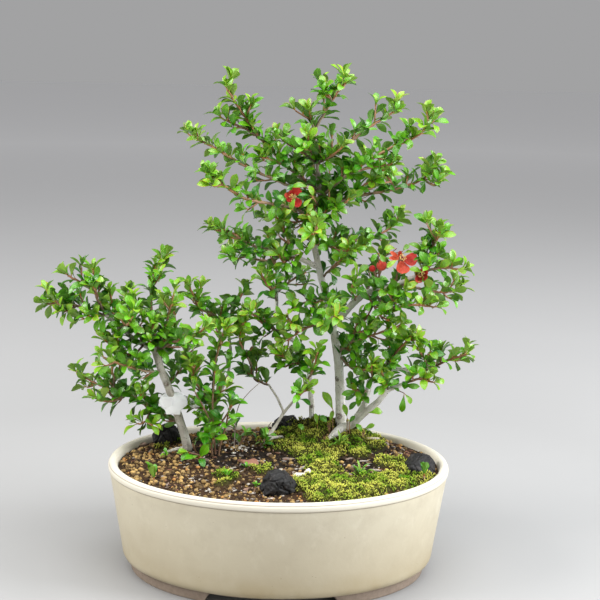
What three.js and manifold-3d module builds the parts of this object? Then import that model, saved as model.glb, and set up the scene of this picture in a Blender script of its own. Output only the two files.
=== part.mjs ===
// A flowering quince bonsai: a clump of slender trunks in an oval cream pot.
// Millimetres, +Z up, the front of the pot facing -Y.
import * as THREE from "three";
import { mergeVertices } from "three/addons/utils/BufferGeometryUtils.js";
import Module from "manifold-3d";

const wasm = await Module();
wasm.setup();

// Room left between any two pieces that touch
const GAP = 0.3;

// The pot: every horizontal section is a circle of the half depth, stretched sideways by OVAL_STRETCH
const RIM_HALF_DEPTH = 130;
const OVAL_STRETCH = 40;
const STRETCH_FROM = 60;
const POT_HEIGHT = 111;
const POT_WALL = 9;
const POT_SEGMENTS = 32;
const FOOT_HEIGHT = 10.5;
const FOOT_HALF_DEPTH = 108;
const FOOT_WIDTH = 11;
const FOOT_CUT_HALF_WIDTH = 62;
const FOOT_CUT_HEIGHT = 9.5;
const FLOOR_TOP = 16.5;
const DRAIN_SPACING = 140;
const DRAIN_RADIUS = 13;
const SCREEN_SIDE = 34;
const SCREEN_THICKNESS = 1.2;
const SCREEN_HOLE = 9;
const SCREEN_PITCH = 13;

// The soil: a level bed with mounds, each [x, y, reach, height]
const SOIL_LEVEL = 105;
const SOIL_EDGE_FADE = 15;
const SOIL_RINGS = [112, 94, 70, 40, 0];
const MOUNDS = [
  [62, 78, 34, 19],
  [28, 96, 26, 12],
  [12, 48, 36, 5],
  [-20, 42, 24, 3],
  [-88, 34, 42, 4],
  [-70, 52, 26, 3],
  [112, 8, 34, 3],
  [64, -66, 46, 3],
  [-40, -50, 40, 1.5],
];

// Stems and twigs
const TRUNK_SIDES = 8;
const LIMB_SIDES = 5;
const TWIG_SIDES = 4;
const TWIG_TIP_RADIUS = 0.9;
const SIDE_TWIG_RADII = [1, 0.8];
const SIDE_TWIG_REACH = [11, 19];
const SIDE_TWIG_EVERY = 5;
const STATION_SPACING = 8.5;
const GOLDEN_ANGLE = 2.4;
const BUD_POINT = 0.8;
const SPREAD_OUT = 0.6;
const SPREAD_UP = 0.35;
const ROSETTE_LIFT = 0.5;
const TIP_LIFT = 0.4;

// Leaves, in rosettes at the twig tips
const TIP_LEAVES = 4;
const SIDE_TWIG_LEAVES = 4;
const TIP_STATION = 99;
const ROSETTE_TILTS = [0.8, 1.2];
const LEAF_LENGTH = [12, 16.5];
const LEAF_WIDTH_SHARE = [0.5, 0.6];
const LEAF_ARCH = 0.32;
const LEAF_FOLD = 0.3;
const BLADE_THICKNESS = 1;
const RIB_SHARE = 0.55;
// The edge of a blade from root to tip: [share of its length, share of its width]
const LEAF_OUTLINE = [[0.3, 0.2], [0.66, 0.5], [0.95, 0.26]];

// Flowers
const PETALS = 5;
const PETAL_LENGTH = 14;
const PETAL_WIDTH = 11;
const PETAL_TILT = 1.15;
const PETAL_ARCH = -0.3;
const PETAL_FOLD = 0.25;
const PETAL_OUTLINE = [[0.3, 0.3], [0.68, 0.5], [0.96, 0.3]];
const FLOWER_STALK_RADIUS = 1.2;
const FLOWER_CUP_RADIUS = 2.6;
const FLOWERS = {
  flower_right: [[114, 37, 286], [115, 39, 300], [117, 35, 309], [118, 28, 312]],
  flower_side: [[133, 30, 294], [135, 25, 298], [136, 19, 300]],
  flower_upper: [[12, 56, 353], [12, 52, 364], [12, 45, 370], [13, 38, 372]],
};
const BUD_STALK_RADII = [1.2, 1];
// Two closed buds on a forked stalk: [radius, route]
const BUDS = [
  [5.6, [[97, 45, 278], [97, 42, 290], [99, 36, 303]]],
  [3.6, [[97, 43, 286], [93, 42, 293], [90, 40, 299]]],
];

// Lumps of charcoal on the soil: [place, size, turn]. The corners of a lump move in or out by
// up to LUMP_ROUGHNESS of their distance from its middle.
const LUMP_ROUGHNESS = 0.14;
const CHARCOAL = {
  charcoal_front: [[1, -80, 111], [30, 26, 28], 0.3],
  charcoal_right: [[140, -10, 105], [34, 22, 26], 1.1],
  charcoal_left_back: [[-118, 58, 112], [32, 20, 28], 0.8],
  charcoal_back: [[6, 98, 113], [32, 20, 28], 0.1],
};

// Young shoots in the soil: [route, leaf length]
const SHOOT_RADIUS = 1.1;
const SHOOT_LEAF_WIDTH_SHARE = 0.4;
const SHOOTS = {
  shoot_front_left: [[[-62, 18, 94], [-60, 16, 116], [-54, 12, 140], [-50, 8, 160]], 21],
  shoot_left: [[[-116, -60, 94], [-116, -58, 102], [-115, -55, 108]], 17],
  shoot_right: [[[142, -43, 94], [142, -43, 103], [142, -41, 110]], 14],
};

// The label round the left trunk: its strip's middle line starts at the broad end in front
const LABEL_PLACE = [-108, 30, 160];
const LABEL_THICKNESS = 1;
const LABEL_STRIP_WIDTH = 12;
const LABEL_PLATE = [28, 24];
const LABEL_PLATE_SIDES = 14;
const LABEL_LOOP_STEPS = 11;
const LABEL_LOOP = [[0, -8], [-9, -7], [-13, 0], [-9, 8], [0, 10], [10, 7], [20, 6], [34, 9]];

// The dry leaf on the soil
const DEAD_LEAF_PLACE = [-44, -22];
const DEAD_LEAF_HEIGHT = 2.2;
const DEAD_LEAF_HEADING = [0.75, 0.6, 0.12];
const DEAD_LEAF_SHAPE = { length: 24, width: 11, arch: 0.3, fold: -0.15 };

const MATERIALS = {
  glaze: { color: 0xe2dcc6, roughness: 0.45 },
  screen: { color: 0x2d3b30, roughness: 0.7 },
  soil: { color: 0x5a4330, roughness: 0.95 },
  bark: { color: 0x9a9183, roughness: 0.85 },
  leaf: { color: 0x3f8a2c, roughness: 0.4 },
  petal: { color: 0xc22418, roughness: 0.5 },
  charcoal: { color: 0x2a2829, roughness: 0.8 },
  label: { color: 0xf4f4f2, roughness: 0.4 },
  deadLeaf: { color: 0x7c4c30, roughness: 0.8 },
};

const UP = new THREE.Vector3(0, 0, 1);

const bonsai = new THREE.Group();
bonsai.name = "flowering_quince_bonsai";

// Nodes already made, for the clearance tests: { name, box, body }
const placed = [];

function mergedPositions(geometry) {
  const bare = geometry.clone();
  bare.deleteAttribute("normal");
  bare.deleteAttribute("uv");
  return mergeVertices(bare);
}

function toSolid(geometry) {
  const merged = mergedPositions(geometry);
  const vertProperties = new Float32Array(merged.attributes.position.array);
  const triVerts = new Uint32Array(merged.index.array);
  return new wasm.Manifold(new wasm.Mesh({ numProp: 3, vertProperties, triVerts }));
}

function addNode(name, body, materialName) {
  const { numProp, vertProperties, triVerts } = body.getMesh();
  const geometry = new THREE.BufferGeometry();
  geometry.setAttribute("position", new THREE.BufferAttribute(vertProperties, numProp));
  geometry.setIndex(new THREE.BufferAttribute(triVerts, 1));
  const corners = geometry.toNonIndexed();
  corners.computeVertexNormals();
  const material = new THREE.MeshStandardMaterial({ metalness: 0, ...MATERIALS[materialName] });
  const mesh = new THREE.Mesh(corners, material);
  mesh.name = name;
  bonsai.add(mesh);
}

// A number from 0 to 1 that depends only on the three counts, so that no order of drawing matters
function chance(a, b, c) {
  const wave = Math.sin(a * 12.9898 + b * 78.233 + c * 37.719) * 43758.5453;
  return wave - Math.floor(wave);
}

function between([low, high], share) {
  return low + (high - low) * share;
}

function vectors(points) {
  return points.map((point) => new THREE.Vector3(...point));
}

function curveThrough(points) {
  return new THREE.CatmullRomCurve3(vectors(points), false, "catmullrom", 0.5);
}

// The tube of one stem, tapered from startRadius to endRadius, as points, faces and its last ring;
// grow fattens it all round
function stemMesh(route, startRadius, endRadius, sides, grow = 0) {
  const reach = vectors(route);
  const last = reach[reach.length - 1];
  const before = reach[reach.length - 2];
  last.add(last.clone().sub(before).setLength(grow));
  const curve = new THREE.CatmullRomCurve3(reach, false, "catmullrom", 0.5);
  const steps = route.length - 1;
  const corners = [];
  for (let i = 0; i < sides; i++) {
    const angle = (i / sides) * 2 * Math.PI;
    corners.push(new THREE.Vector2(Math.cos(angle), Math.sin(angle)).multiplyScalar(startRadius));
  }
  const section = new THREE.Shape(corners);
  const geometry = new THREE.ExtrudeGeometry(section, { steps, extrudePath: curve });
  const merged = mergedPositions(geometry);
  const centres = curve.getSpacedPoints(steps);
  const { tangents } = curve.computeFrenetFrames(steps, false);
  const points = [];
  const endRing = [];
  for (let i = 0; i < merged.attributes.position.count; i++) {
    const point = new THREE.Vector3().fromBufferAttribute(merged.attributes.position, i);
    const ring = ringOf(point, centres, tangents, startRadius);
    const radius = startRadius + (endRadius - startRadius) * (ring / steps) + grow;
    points.push(point.sub(centres[ring]).multiplyScalar(radius / startRadius).add(centres[ring]));
    if (ring === steps) {
      endRing.push(i);
    }
  }
  return { points, faces: Array.from(merged.index.array), endRing };
}

// Which of the tube's rings a point belongs to: the one whose plane and radius it fits
function ringOf(point, centres, tangents, radius) {
  let best = 0;
  let least = Infinity;
  for (let i = 0; i < centres.length; i++) {
    const arm = point.clone().sub(centres[i]);
    const miss = Math.abs(arm.dot(tangents[i])) + Math.abs(arm.length() - radius);
    if (miss < least) {
      least = miss;
      best = i;
    }
  }
  return best;
}

function fromPoints(points, faces) {
  const vertProperties = new Float32Array(points.flatMap((point) => point.toArray()));
  const triVerts = new Uint32Array(faces);
  return new wasm.Manifold(new wasm.Mesh({ numProp: 3, vertProperties, triVerts }));
}

function stem(route, startRadius, endRadius, sides, grow = 0) {
  const { points, faces } = stemMesh(route, startRadius, endRadius, sides, grow);
  return fromPoints(points, faces);
}

// The edge points of a blade from its left root round the tip to its right root, and the two
// points of its midrib. The blade arches back along its length and folds up at its edges.
function bladePoints({ base, along, face, length, width, arch, fold, outline }, fatten = 0) {
  const across = new THREE.Vector3().crossVectors(face, along);
  const place = (x, y, z) =>
    base.clone().addScaledVector(along, x).addScaledVector(across, y).addScaledVector(face, z);
  const bow = (share) => arch * length * share * (1 - 1.45 * share);
  const edge = [];
  for (const side of [1, -1]) {
    const pairs = side > 0 ? outline : [...outline].reverse();
    for (const [share, spread] of pairs) {
      const x = share * length + (share > 0.5 ? fatten : -fatten);
      const lift = bow(share) + fold * spread * width;
      edge.push(place(x, side * (spread * width + fatten), lift));
    }
  }
  const half = BLADE_THICKNESS / 2 + fatten;
  const ribHeight = bow(RIB_SHARE);
  const ribTop = place(RIB_SHARE * length, 0, ribHeight + half);
  const ribBottom = place(RIB_SHARE * length, 0, ribHeight - half);
  return { edge, ribTop, ribBottom };
}

// The blade without its stalk, fattened: it stands for the leaf in the clearance tests
function bladeShadow(leaf, fatten) {
  const { edge, ribTop, ribBottom } = bladePoints(leaf, fatten);
  const count = edge.length;
  const faces = [];
  for (let i = 0; i < count; i++) {
    const next = (i + 1) % count;
    faces.push(next, i, count, i, next, count + 1);
  }
  return fromPoints([...edge, ribTop, ribBottom], faces);
}

// A direction that leans from axis by tilt, turned round it by angle
function lean(axis, tilt, angle) {
  const upright = Math.abs(axis.z) > 0.9;
  const reference = upright ? new THREE.Vector3(1, 0, 0) : new THREE.Vector3(0, 0, 1);
  const u = new THREE.Vector3().crossVectors(axis, reference).normalize();
  const v = new THREE.Vector3().crossVectors(axis, u);
  return axis
    .clone()
    .multiplyScalar(Math.cos(tilt))
    .addScaledVector(u, Math.sin(tilt) * Math.cos(angle))
    .addScaledVector(v, Math.sin(tilt) * Math.sin(angle))
    .normalize();
}

// The leaves of a rosette; its size and turns depend on the numbers of the spray and the station
function rosetteLeaves(centre, axis, count, spray, station) {
  const leaves = [];
  for (let i = 0; i < count; i++) {
    const turn = (i / count) * 2 * Math.PI + 0.5 * chance(spray, station, i) + station;
    const along = lean(axis, between(ROSETTE_TILTS, chance(spray, station, i + 20)), turn);
    const face = axis.clone().addScaledVector(along, -axis.dot(along)).normalize();
    const length = between(LEAF_LENGTH, chance(spray, station, i + 40));
    const width = length * between(LEAF_WIDTH_SHARE, chance(spray, station, i + 60));
    const shape = { arch: LEAF_ARCH, fold: LEAF_FOLD, outline: LEAF_OUTLINE };
    leaves.push({ base: centre, along, face, length, width, ...shape });
  }
  return leaves;
}

// A stem whose end is a point of small faces, each drawn out into a blade
function leafyStem(mesh, tip, axis, blades) {
  const points = [...mesh.points];
  const ring = new Set(mesh.endRing);
  const faces = [];
  for (let i = 0; i < mesh.faces.length; i += 3) {
    const corners = mesh.faces.slice(i, i + 3);
    if (!corners.every((corner) => ring.has(corner))) {
      faces.push(...corners);
    }
  }
  const apex = points.push(tip.clone().addScaledVector(axis, BUD_POINT)) - 1;
  const order = orderedRing(mesh, tip, axis);
  const free = new Set(order.keys());
  for (const blade of blades) {
    const side = nearestSide(points, order, free, tip, blade.along);
    free.delete(side);
    const right = order[side];
    const left = order[(side + 1) % order.length];
    drawOut(points, faces, left, right, apex, blade);
  }
  for (const side of free) {
    faces.push(order[side], order[(side + 1) % order.length], apex);
  }
  return fromPoints(points, faces);
}

// The end ring's points in order round the axis, turning left as seen from beyond the tip
function orderedRing({ points, endRing }, tip, axis) {
  const start = points[endRing[0]].clone().sub(tip);
  const quarter = new THREE.Vector3().crossVectors(axis, start);
  const angleOf = (index) => {
    const arm = points[index].clone().sub(tip);
    const angle = Math.atan2(arm.dot(quarter) / quarter.length(), arm.dot(start) / start.length());
    return (angle + 2 * Math.PI - 1e-6) % (2 * Math.PI);
  };
  return [...endRing].sort((a, b) => angleOf(a) - angleOf(b));
}

function nearestSide(points, order, free, tip, along) {
  let best = -1;
  let most = -Infinity;
  for (const side of free) {
    const a = points[order[side]];
    const b = points[order[(side + 1) % order.length]];
    const outwards = a.clone().add(b).multiplyScalar(0.5).sub(tip).normalize();
    if (outwards.dot(along) > most) {
      most = outwards.dot(along);
      best = side;
    }
  }
  return best;
}

// One blade grown from the small face between two ring points and the apex
function drawOut(points, faces, left, right, apex, blade) {
  const { edge, ribTop, ribBottom } = bladePoints(blade);
  const first = points.push(...edge) - edge.length;
  const top = points.push(ribTop) - 1;
  const bottom = points.push(ribBottom) - 1;
  const rim = [left, ...edge.map((_, i) => first + i), right];
  for (let i = 0; i + 1 < rim.length; i++) {
    faces.push(rim[i + 1], rim[i], top, rim[i], rim[i + 1], bottom);
  }
  faces.push(left, apex, top, apex, right, top, right, left, bottom);
}

// The direction that leaves the twig at a station, turned on by the golden angle each time
function outward(tangent, station, spray) {
  const upright = Math.abs(tangent.z) > 0.95;
  const level = upright ? new THREE.Vector3(1, 0, 0) : new THREE.Vector3(0, 0, 1);
  const side = new THREE.Vector3().crossVectors(tangent, level).normalize();
  const over = new THREE.Vector3().crossVectors(side, tangent);
  const angle = station * GOLDEN_ANGLE + spray;
  return side.multiplyScalar(Math.cos(angle)).addScaledVector(over, Math.sin(angle));
}

function mix(radial, tangent, share, lift) {
  return radial.clone().addScaledVector(tangent, share).addScaledVector(UP, lift).normalize();
}

function boxOf(body) {
  const { min, max } = body.boundingBox();
  return new THREE.Box3(new THREE.Vector3(...min), new THREE.Vector3(...max));
}

function isClear(body, exceptName = "") {
  const box = boxOf(body);
  return placed.every(
    (other) =>
      other.name === exceptName ||
      !other.box.intersectsBox(box) ||
      body.intersect(other.body).isEmpty(),
  );
}

function remember(name, body) {
  placed.push({ name, box: boxOf(body), body });
}

// The leaves of a rosette that stay clear of all that is already there
function clearLeaves(name, leaves) {
  const kept = [];
  for (const leaf of leaves) {
    if (isClear(bladeShadow(leaf, GAP))) {
      kept.push(leaf);
      remember(name, bladeShadow(leaf, 0));
    }
  }
  return kept;
}

// The side twigs of a spray: where each starts and ends, and which way its rosette looks
function sideTwigsOf(spray, index) {
  const curve = curveThrough(spray.route);
  const count = Math.max(3, Math.round(curve.getLength() / STATION_SPACING));
  const twigs = [];
  for (let station = 1; station < count; station += SIDE_TWIG_EVERY) {
    const share = (station + 0.7) / count;
    const start = curve.getPoint(share);
    const tangent = curve.getTangent(share);
    const direction = mix(outward(tangent, station, index), tangent, SPREAD_OUT, SPREAD_UP);
    const reach = between(SIDE_TWIG_REACH, chance(index, station, 80));
    const tip = start.clone().addScaledVector(direction, reach);
    const axis = mix(direction, tangent, 0, ROSETTE_LIFT);
    twigs.push({ station, start, tip, axis });
  }
  return twigs;
}

function sideTwigMesh({ start, tip }, grow = 0) {
  const [startRadius, endRadius] = SIDE_TWIG_RADII;
  const route = [start.toArray(), tip.toArray()];
  return stemMesh(route, startRadius, endRadius, SIDE_TWIG_LEAVES, grow);
}

function mainTwigMesh(spray, grow = 0) {
  return stemMesh(spray.route, spray.radius, TWIG_TIP_RADIUS, TWIG_SIDES, grow);
}

function asSolid({ points, faces }) {
  return fromPoints(points, faces);
}

// The side twigs that stay clear of every other node
function clearSideTwigs(spray, index) {
  const kept = [];
  for (const twig of sideTwigsOf(spray, index)) {
    if (isClear(asSolid(sideTwigMesh(twig, GAP)), spray.name)) {
      kept.push(twig);
      remember(spray.name, asSolid(sideTwigMesh(twig)));
    }
  }
  return kept;
}

function leafyTwig(spray, index, sideTwigs) {
  const curve = curveThrough(spray.route);
  const tip = curve.getPoint(1);
  const axis = mix(curve.getTangent(1), UP, TIP_LIFT, 0);
  const tipLeaves = clearLeaves(spray.name, rosetteLeaves(tip, axis, TIP_LEAVES, index, TIP_STATION));
  const bodies = [leafyStem(mainTwigMesh(spray), tip, axis, tipLeaves)];
  for (const twig of sideTwigs) {
    const leaves = rosetteLeaves(twig.tip, twig.axis, SIDE_TWIG_LEAVES, index, twig.station);
    const clear = clearLeaves(spray.name, leaves);
    bodies.push(leafyStem(sideTwigMesh(twig), twig.tip, twig.axis, clear));
  }
  return wasm.Manifold.union(bodies);
}

// The outer surface of a union: a hollow sealed between crossing pieces is filled, a scrap is dropped
function biggestBody(body) {
  const bodies = body.decompose();
  return bodies.reduce((big, next) => (next.volume() > big.volume() ? next : big));
}

// An open flower: five petals drawn out of the end of its stalk
function flower(route) {
  const ends = vectors(route);
  const tip = ends[ends.length - 1];
  const axis = tip.clone().sub(ends[ends.length - 2]).normalize();
  const petals = [];
  for (let i = 0; i < PETALS; i++) {
    const along = lean(axis, PETAL_TILT, (i / PETALS) * 2 * Math.PI);
    const face = axis.clone().addScaledVector(along, -axis.dot(along)).normalize();
    const size = { length: PETAL_LENGTH, width: PETAL_WIDTH };
    const shape = { arch: PETAL_ARCH, fold: PETAL_FOLD, outline: PETAL_OUTLINE };
    petals.push({ base: tip, along, face, ...size, ...shape });
  }
  const stalk = stemMesh(route, FLOWER_STALK_RADIUS, FLOWER_CUP_RADIUS, PETALS);
  return leafyStem(stalk, tip, axis, petals);
}

// Closed buds: round knobs at the ends of a forked stalk
function buds() {
  const bodies = [];
  for (const [radius, route] of BUDS) {
    const centre = vectors(route).pop();
    const geometry = new THREE.IcosahedronGeometry(radius, 1);
    geometry.translate(centre.x, centre.y, centre.z);
    bodies.push(toSolid(geometry), stem(route, ...BUD_STALK_RADII, TWIG_SIDES));
  }
  return wasm.Manifold.union(bodies);
}

// A rough lump with its middle at the given place, longest along its own X
function lump([x, y, z], [length, width, height], turn, seed) {
  const geometry = mergedPositions(new THREE.IcosahedronGeometry(0.5, 1));
  const position = geometry.attributes.position;
  const point = new THREE.Vector3();
  for (let i = 0; i < position.count; i++) {
    const stretch = between([1 - LUMP_ROUGHNESS, 1 + LUMP_ROUGHNESS], chance(seed, i, 1));
    point.fromBufferAttribute(position, i).multiplyScalar(stretch);
    position.setXYZ(i, point.x * length, point.y * width, point.z * height);
  }
  geometry.rotateZ(turn);
  geometry.translate(x, y, z);
  return toSolid(geometry);
}

// A shoot from the soil: a short stem ending in a rosette of long leaves
function shoot(route, leafLength, seed) {
  const ends = vectors(route);
  const tip = ends[ends.length - 1];
  const axis = tip.clone().sub(ends[ends.length - 2]).normalize();
  const leaves = rosetteLeaves(tip, axis, SIDE_TWIG_LEAVES, seed, 0);
  for (const leaf of leaves) {
    leaf.length = leafLength;
    leaf.width = leafLength * SHOOT_LEAF_WIDTH_SHARE;
  }
  const stalk = stemMesh(route, SHOOT_RADIUS, TWIG_TIP_RADIUS, TWIG_SIDES);
  return leafyStem(stalk, tip, axis, leaves);
}

// The blank label: a strip looped round the left trunk, with its broad round end in front
function label() {
  const [x, y, z] = LABEL_PLACE;
  const loop = LABEL_LOOP.map(([right, back]) => [x + right, y + back, z]);
  const half = LABEL_STRIP_WIDTH / 2;
  const thin = LABEL_THICKNESS / 2;
  const section = new THREE.Shape();
  section.moveTo(-half, -thin).lineTo(half, -thin).lineTo(half, thin).lineTo(-half, thin);
  const path = new THREE.CatmullRomCurve3(vectors(loop), false, "catmullrom", 0.5);
  const strip = new THREE.ExtrudeGeometry(section, { steps: LABEL_LOOP_STEPS, extrudePath: path });
  const plate = new THREE.CylinderGeometry(1, 1, LABEL_THICKNESS, LABEL_PLATE_SIDES);
  plate.scale(LABEL_PLATE[0] / 2, 1, LABEL_PLATE[1] / 2);
  plate.translate(...loop[0]);
  return toSolid(strip).add(toSolid(plate));
}

// A dry leaf lying on the soil
function fallenLeaf() {
  const [x, y] = DEAD_LEAF_PLACE;
  const along = new THREE.Vector3(...DEAD_LEAF_HEADING).normalize();
  const face = UP.clone().addScaledVector(along, -along.z).normalize();
  const base = new THREE.Vector3(x, y, soilHeight(x, y) + DEAD_LEAF_HEIGHT);
  return bladeShadow({ base, along, face, ...DEAD_LEAF_SHAPE, outline: LEAF_OUTLINE }, 0);
}

// A horizontal circle of the lathe becomes the pot's oval
function stretchSideways(geometry) {
  const position = geometry.attributes.position;
  for (let i = 0; i < position.count; i++) {
    const x = position.getX(i);
    const y = position.getY(i);
    const radius = Math.hypot(x, y);
    if (radius > 0) {
      const stretch = OVAL_STRETCH * Math.min(1, radius / STRETCH_FROM);
      position.setX(i, x * (1 + stretch / radius));
    }
  }
  return geometry;
}

function ovalLathe(profile) {
  const points = profile.map(([radius, height]) => new THREE.Vector2(radius, height));
  const geometry = new THREE.LatheGeometry(points, POT_SEGMENTS);
  geometry.rotateX(Math.PI / 2);
  return stretchSideways(geometry);
}

function block(width, depth, bottom, top, x = 0, y = 0) {
  const geometry = new THREE.BoxGeometry(width, depth, top - bottom);
  geometry.translate(x, y, (top + bottom) / 2);
  return toSolid(geometry);
}

function drainHole(x) {
  const geometry = new THREE.CylinderGeometry(DRAIN_RADIUS, DRAIN_RADIUS, FLOOR_TOP, 16);
  geometry.rotateX(Math.PI / 2);
  geometry.translate(x, 0, FLOOR_TOP - 3);
  return toSolid(geometry);
}

function makePot() {
  const rim = RIM_HALF_DEPTH;
  const profile = [
    [0, FOOT_HEIGHT],
    [FOOT_HALF_DEPTH - FOOT_WIDTH - 1, FOOT_HEIGHT],
    [FOOT_HALF_DEPTH - FOOT_WIDTH, 0],
    [FOOT_HALF_DEPTH, 0],
    [FOOT_HALF_DEPTH + 1.5, FOOT_HEIGHT],
    [rim - 17, 13],
    [rim - 13, 22],
    [rim - 1, POT_HEIGHT - 8.6],
    [rim, POT_HEIGHT - 7.8],
    [rim - 0.4, POT_HEIGHT - 2],
    [rim - 3, POT_HEIGHT],
    [rim - 7, POT_HEIGHT - 0.8],
    [rim - POT_WALL, POT_HEIGHT - 4],
    [rim - POT_WALL - 15, FLOOR_TOP],
    [0, FLOOR_TOP],
  ];
  const shell = toSolid(ovalLathe(profile));
  const footCut = block(2 * FOOT_CUT_HALF_WIDTH, 3 * rim, -1, FOOT_CUT_HEIGHT);
  const holes = [drainHole(-DRAIN_SPACING / 2), drainHole(DRAIN_SPACING / 2)];
  addNode("pot", shell.subtract(wasm.Manifold.union([footCut, ...holes])), "glaze");
}

// The square mesh over a drain hole
function makeScreen(name, x) {
  const bottom = FLOOR_TOP + GAP;
  const sheet = block(SCREEN_SIDE, SCREEN_SIDE, bottom, bottom + SCREEN_THICKNESS, x);
  const holes = [];
  for (const column of [-0.5, 0.5]) {
    for (const row of [-0.5, 0.5]) {
      const holeX = x + column * SCREEN_PITCH;
      const holeY = row * SCREEN_PITCH;
      holes.push(block(SCREEN_HOLE, SCREEN_HOLE, 0, 2 * FLOOR_TOP, holeX, holeY));
    }
  }
  addNode(name, sheet.subtract(wasm.Manifold.union(holes)), "screen");
}

// How far a point lies inside the inner edge of the soil, along the circle's radius
function insetFromWall(x, y) {
  const spread = RIM_HALF_DEPTH - POT_WALL + OVAL_STRETCH;
  const depth = RIM_HALF_DEPTH - POT_WALL;
  return depth * (1 - Math.hypot(x / spread, y / depth));
}

function soilHeight(x, y) {
  let rise = 0;
  for (const [centreX, centreY, reach, height] of MOUNDS) {
    rise += height * Math.exp(-((x - centreX) ** 2 + (y - centreY) ** 2) / reach ** 2);
  }
  const fade = THREE.MathUtils.smoothstep(insetFromWall(x, y), 0, SOIL_EDGE_FADE);
  return SOIL_LEVEL + rise * fade;
}

function makeSoil(hollows) {
  const inner = RIM_HALF_DEPTH - POT_WALL - GAP;
  const edge = inner - 2;
  const profile = [
    [0, FLOOR_TOP + GAP],
    [inner - 15.5, FLOOR_TOP + GAP],
    [edge, SOIL_LEVEL],
    ...SOIL_RINGS.map((radius) => [radius, SOIL_LEVEL]),
  ];
  const geometry = ovalLathe(profile);
  const position = geometry.attributes.position;
  for (let i = 0; i < position.count; i++) {
    if (position.getZ(i) > SOIL_LEVEL - 1) {
      position.setZ(i, soilHeight(position.getX(i), position.getY(i)));
    }
  }
  const pocket = SCREEN_SIDE + 2 * GAP;
  const top = FLOOR_TOP + SCREEN_THICKNESS + 2 * GAP;
  const pockets = [-DRAIN_SPACING / 2, DRAIN_SPACING / 2].map((x) => block(pocket, pocket, 0, top, x));
  const bed = toSolid(geometry).subtract(wasm.Manifold.union([...pockets, ...hollows]));
  addNode("soil", biggestBody(bed), "soil");
}

// The woody parts: each plant is one body of stems, [radius at start, radius at end, sides, route]
const WOOD = {
  main_trunk: [
    [5.8, 1.7, TRUNK_SIDES, [[66, 78, 98], [64, 78, 125], [62, 78, 166], [59, 77, 199], [53, 75, 232],
      [44, 72, 271], [33, 70, 300], [34, 71, 332], [37, 71, 358], [35, 69, 384], [31, 67, 414],
      [29, 65, 436]]],
    [4.6, 2.0, LIMB_SIDES, [[52, 74, 230], [64, 67, 247], [75, 58, 262], [85, 52, 272], [100, 44, 277],
      [116, 36, 285], [135, 30, 295]]],
    [3.2, 1.9, LIMB_SIDES, [[34, 70, 295], [14, 64, 305], [2, 60, 310], [-15, 52, 315]]],
    [5.4, 2.2, LIMB_SIDES, [[62, 72, 119], [74, 68, 127], [84, 60, 140], [98, 52, 154], [110, 42, 173],
      [124, 32, 182]]],
    [4.4, 2.4, LIMB_SIDES, [[77, 66, 130], [89, 62, 154], [93, 62, 178], [107, 58, 191], [134, 50, 192]]],
    [5.2, 2.6, LIMB_SIDES, [[68, 74, 124], [59, 62, 121], [50, 52, 113], [44, 46, 104]]],
  ],
  second_trunk: [
    [3.6, 1.8, LIMB_SIDES, [[35, 96, 98], [34, 95, 123], [32, 94, 153], [30, 92, 172], [26, 88, 200],
      [14, 84, 211], [3, 80, 220], [-5, 76, 236], [-6, 73, 258], [-6, 72, 283]]],
  ],
  thin_stem: [
    [2.5, 1.8, LIMB_SIDES, [[-24, 36, 94], [-18, 40, 112], [-6, 44, 129], [5, 48, 147]]],
    [1.6, 1.2, TWIG_SIDES, [[4, 47, 145], [-5, 52, 163], [-13, 56, 173]]],
    [1.6, 1.2, TWIG_SIDES, [[4, 48, 145], [15, 44, 160], [26, 38, 182]]],
    [2.2, 1.4, TWIG_SIDES, [[-17, 41, 114], [-8, 50, 117], [2, 60, 115], [10, 66, 106]]],
  ],
  left_trunk: [
    [5, 3.6, TRUNK_SIDES, [[-88, 33, 82], [-93, 32, 108], [-99, 31, 130], [-105, 30, 150], [-114, 30, 176],
      [-122, 30, 196], [-128, 30, 217]]],
    [2.8, 1.7, LIMB_SIDES, [[-127, 30, 212], [-149, 22, 227], [-161, 14, 240], [-174, 8, 254]]],
    [2.8, 1.5, TWIG_SIDES, [[-94, 31, 110], [-105, 26, 110], [-118, 18, 108], [-126, 12, 101]]],
  ],
  middle_stem: [
    [2.6, 1.6, LIMB_SIDES, [[-74, 50, 92], [-74, 50, 113], [-74, 50, 134], [-71, 48, 151], [-69, 46, 173]]],
    [2.2, 1.5, LIMB_SIDES, [[-74, 50, 136], [-61, 55, 165], [-52, 60, 190], [-53, 61, 212], [-55, 60, 232]]],
  ],
};

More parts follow.
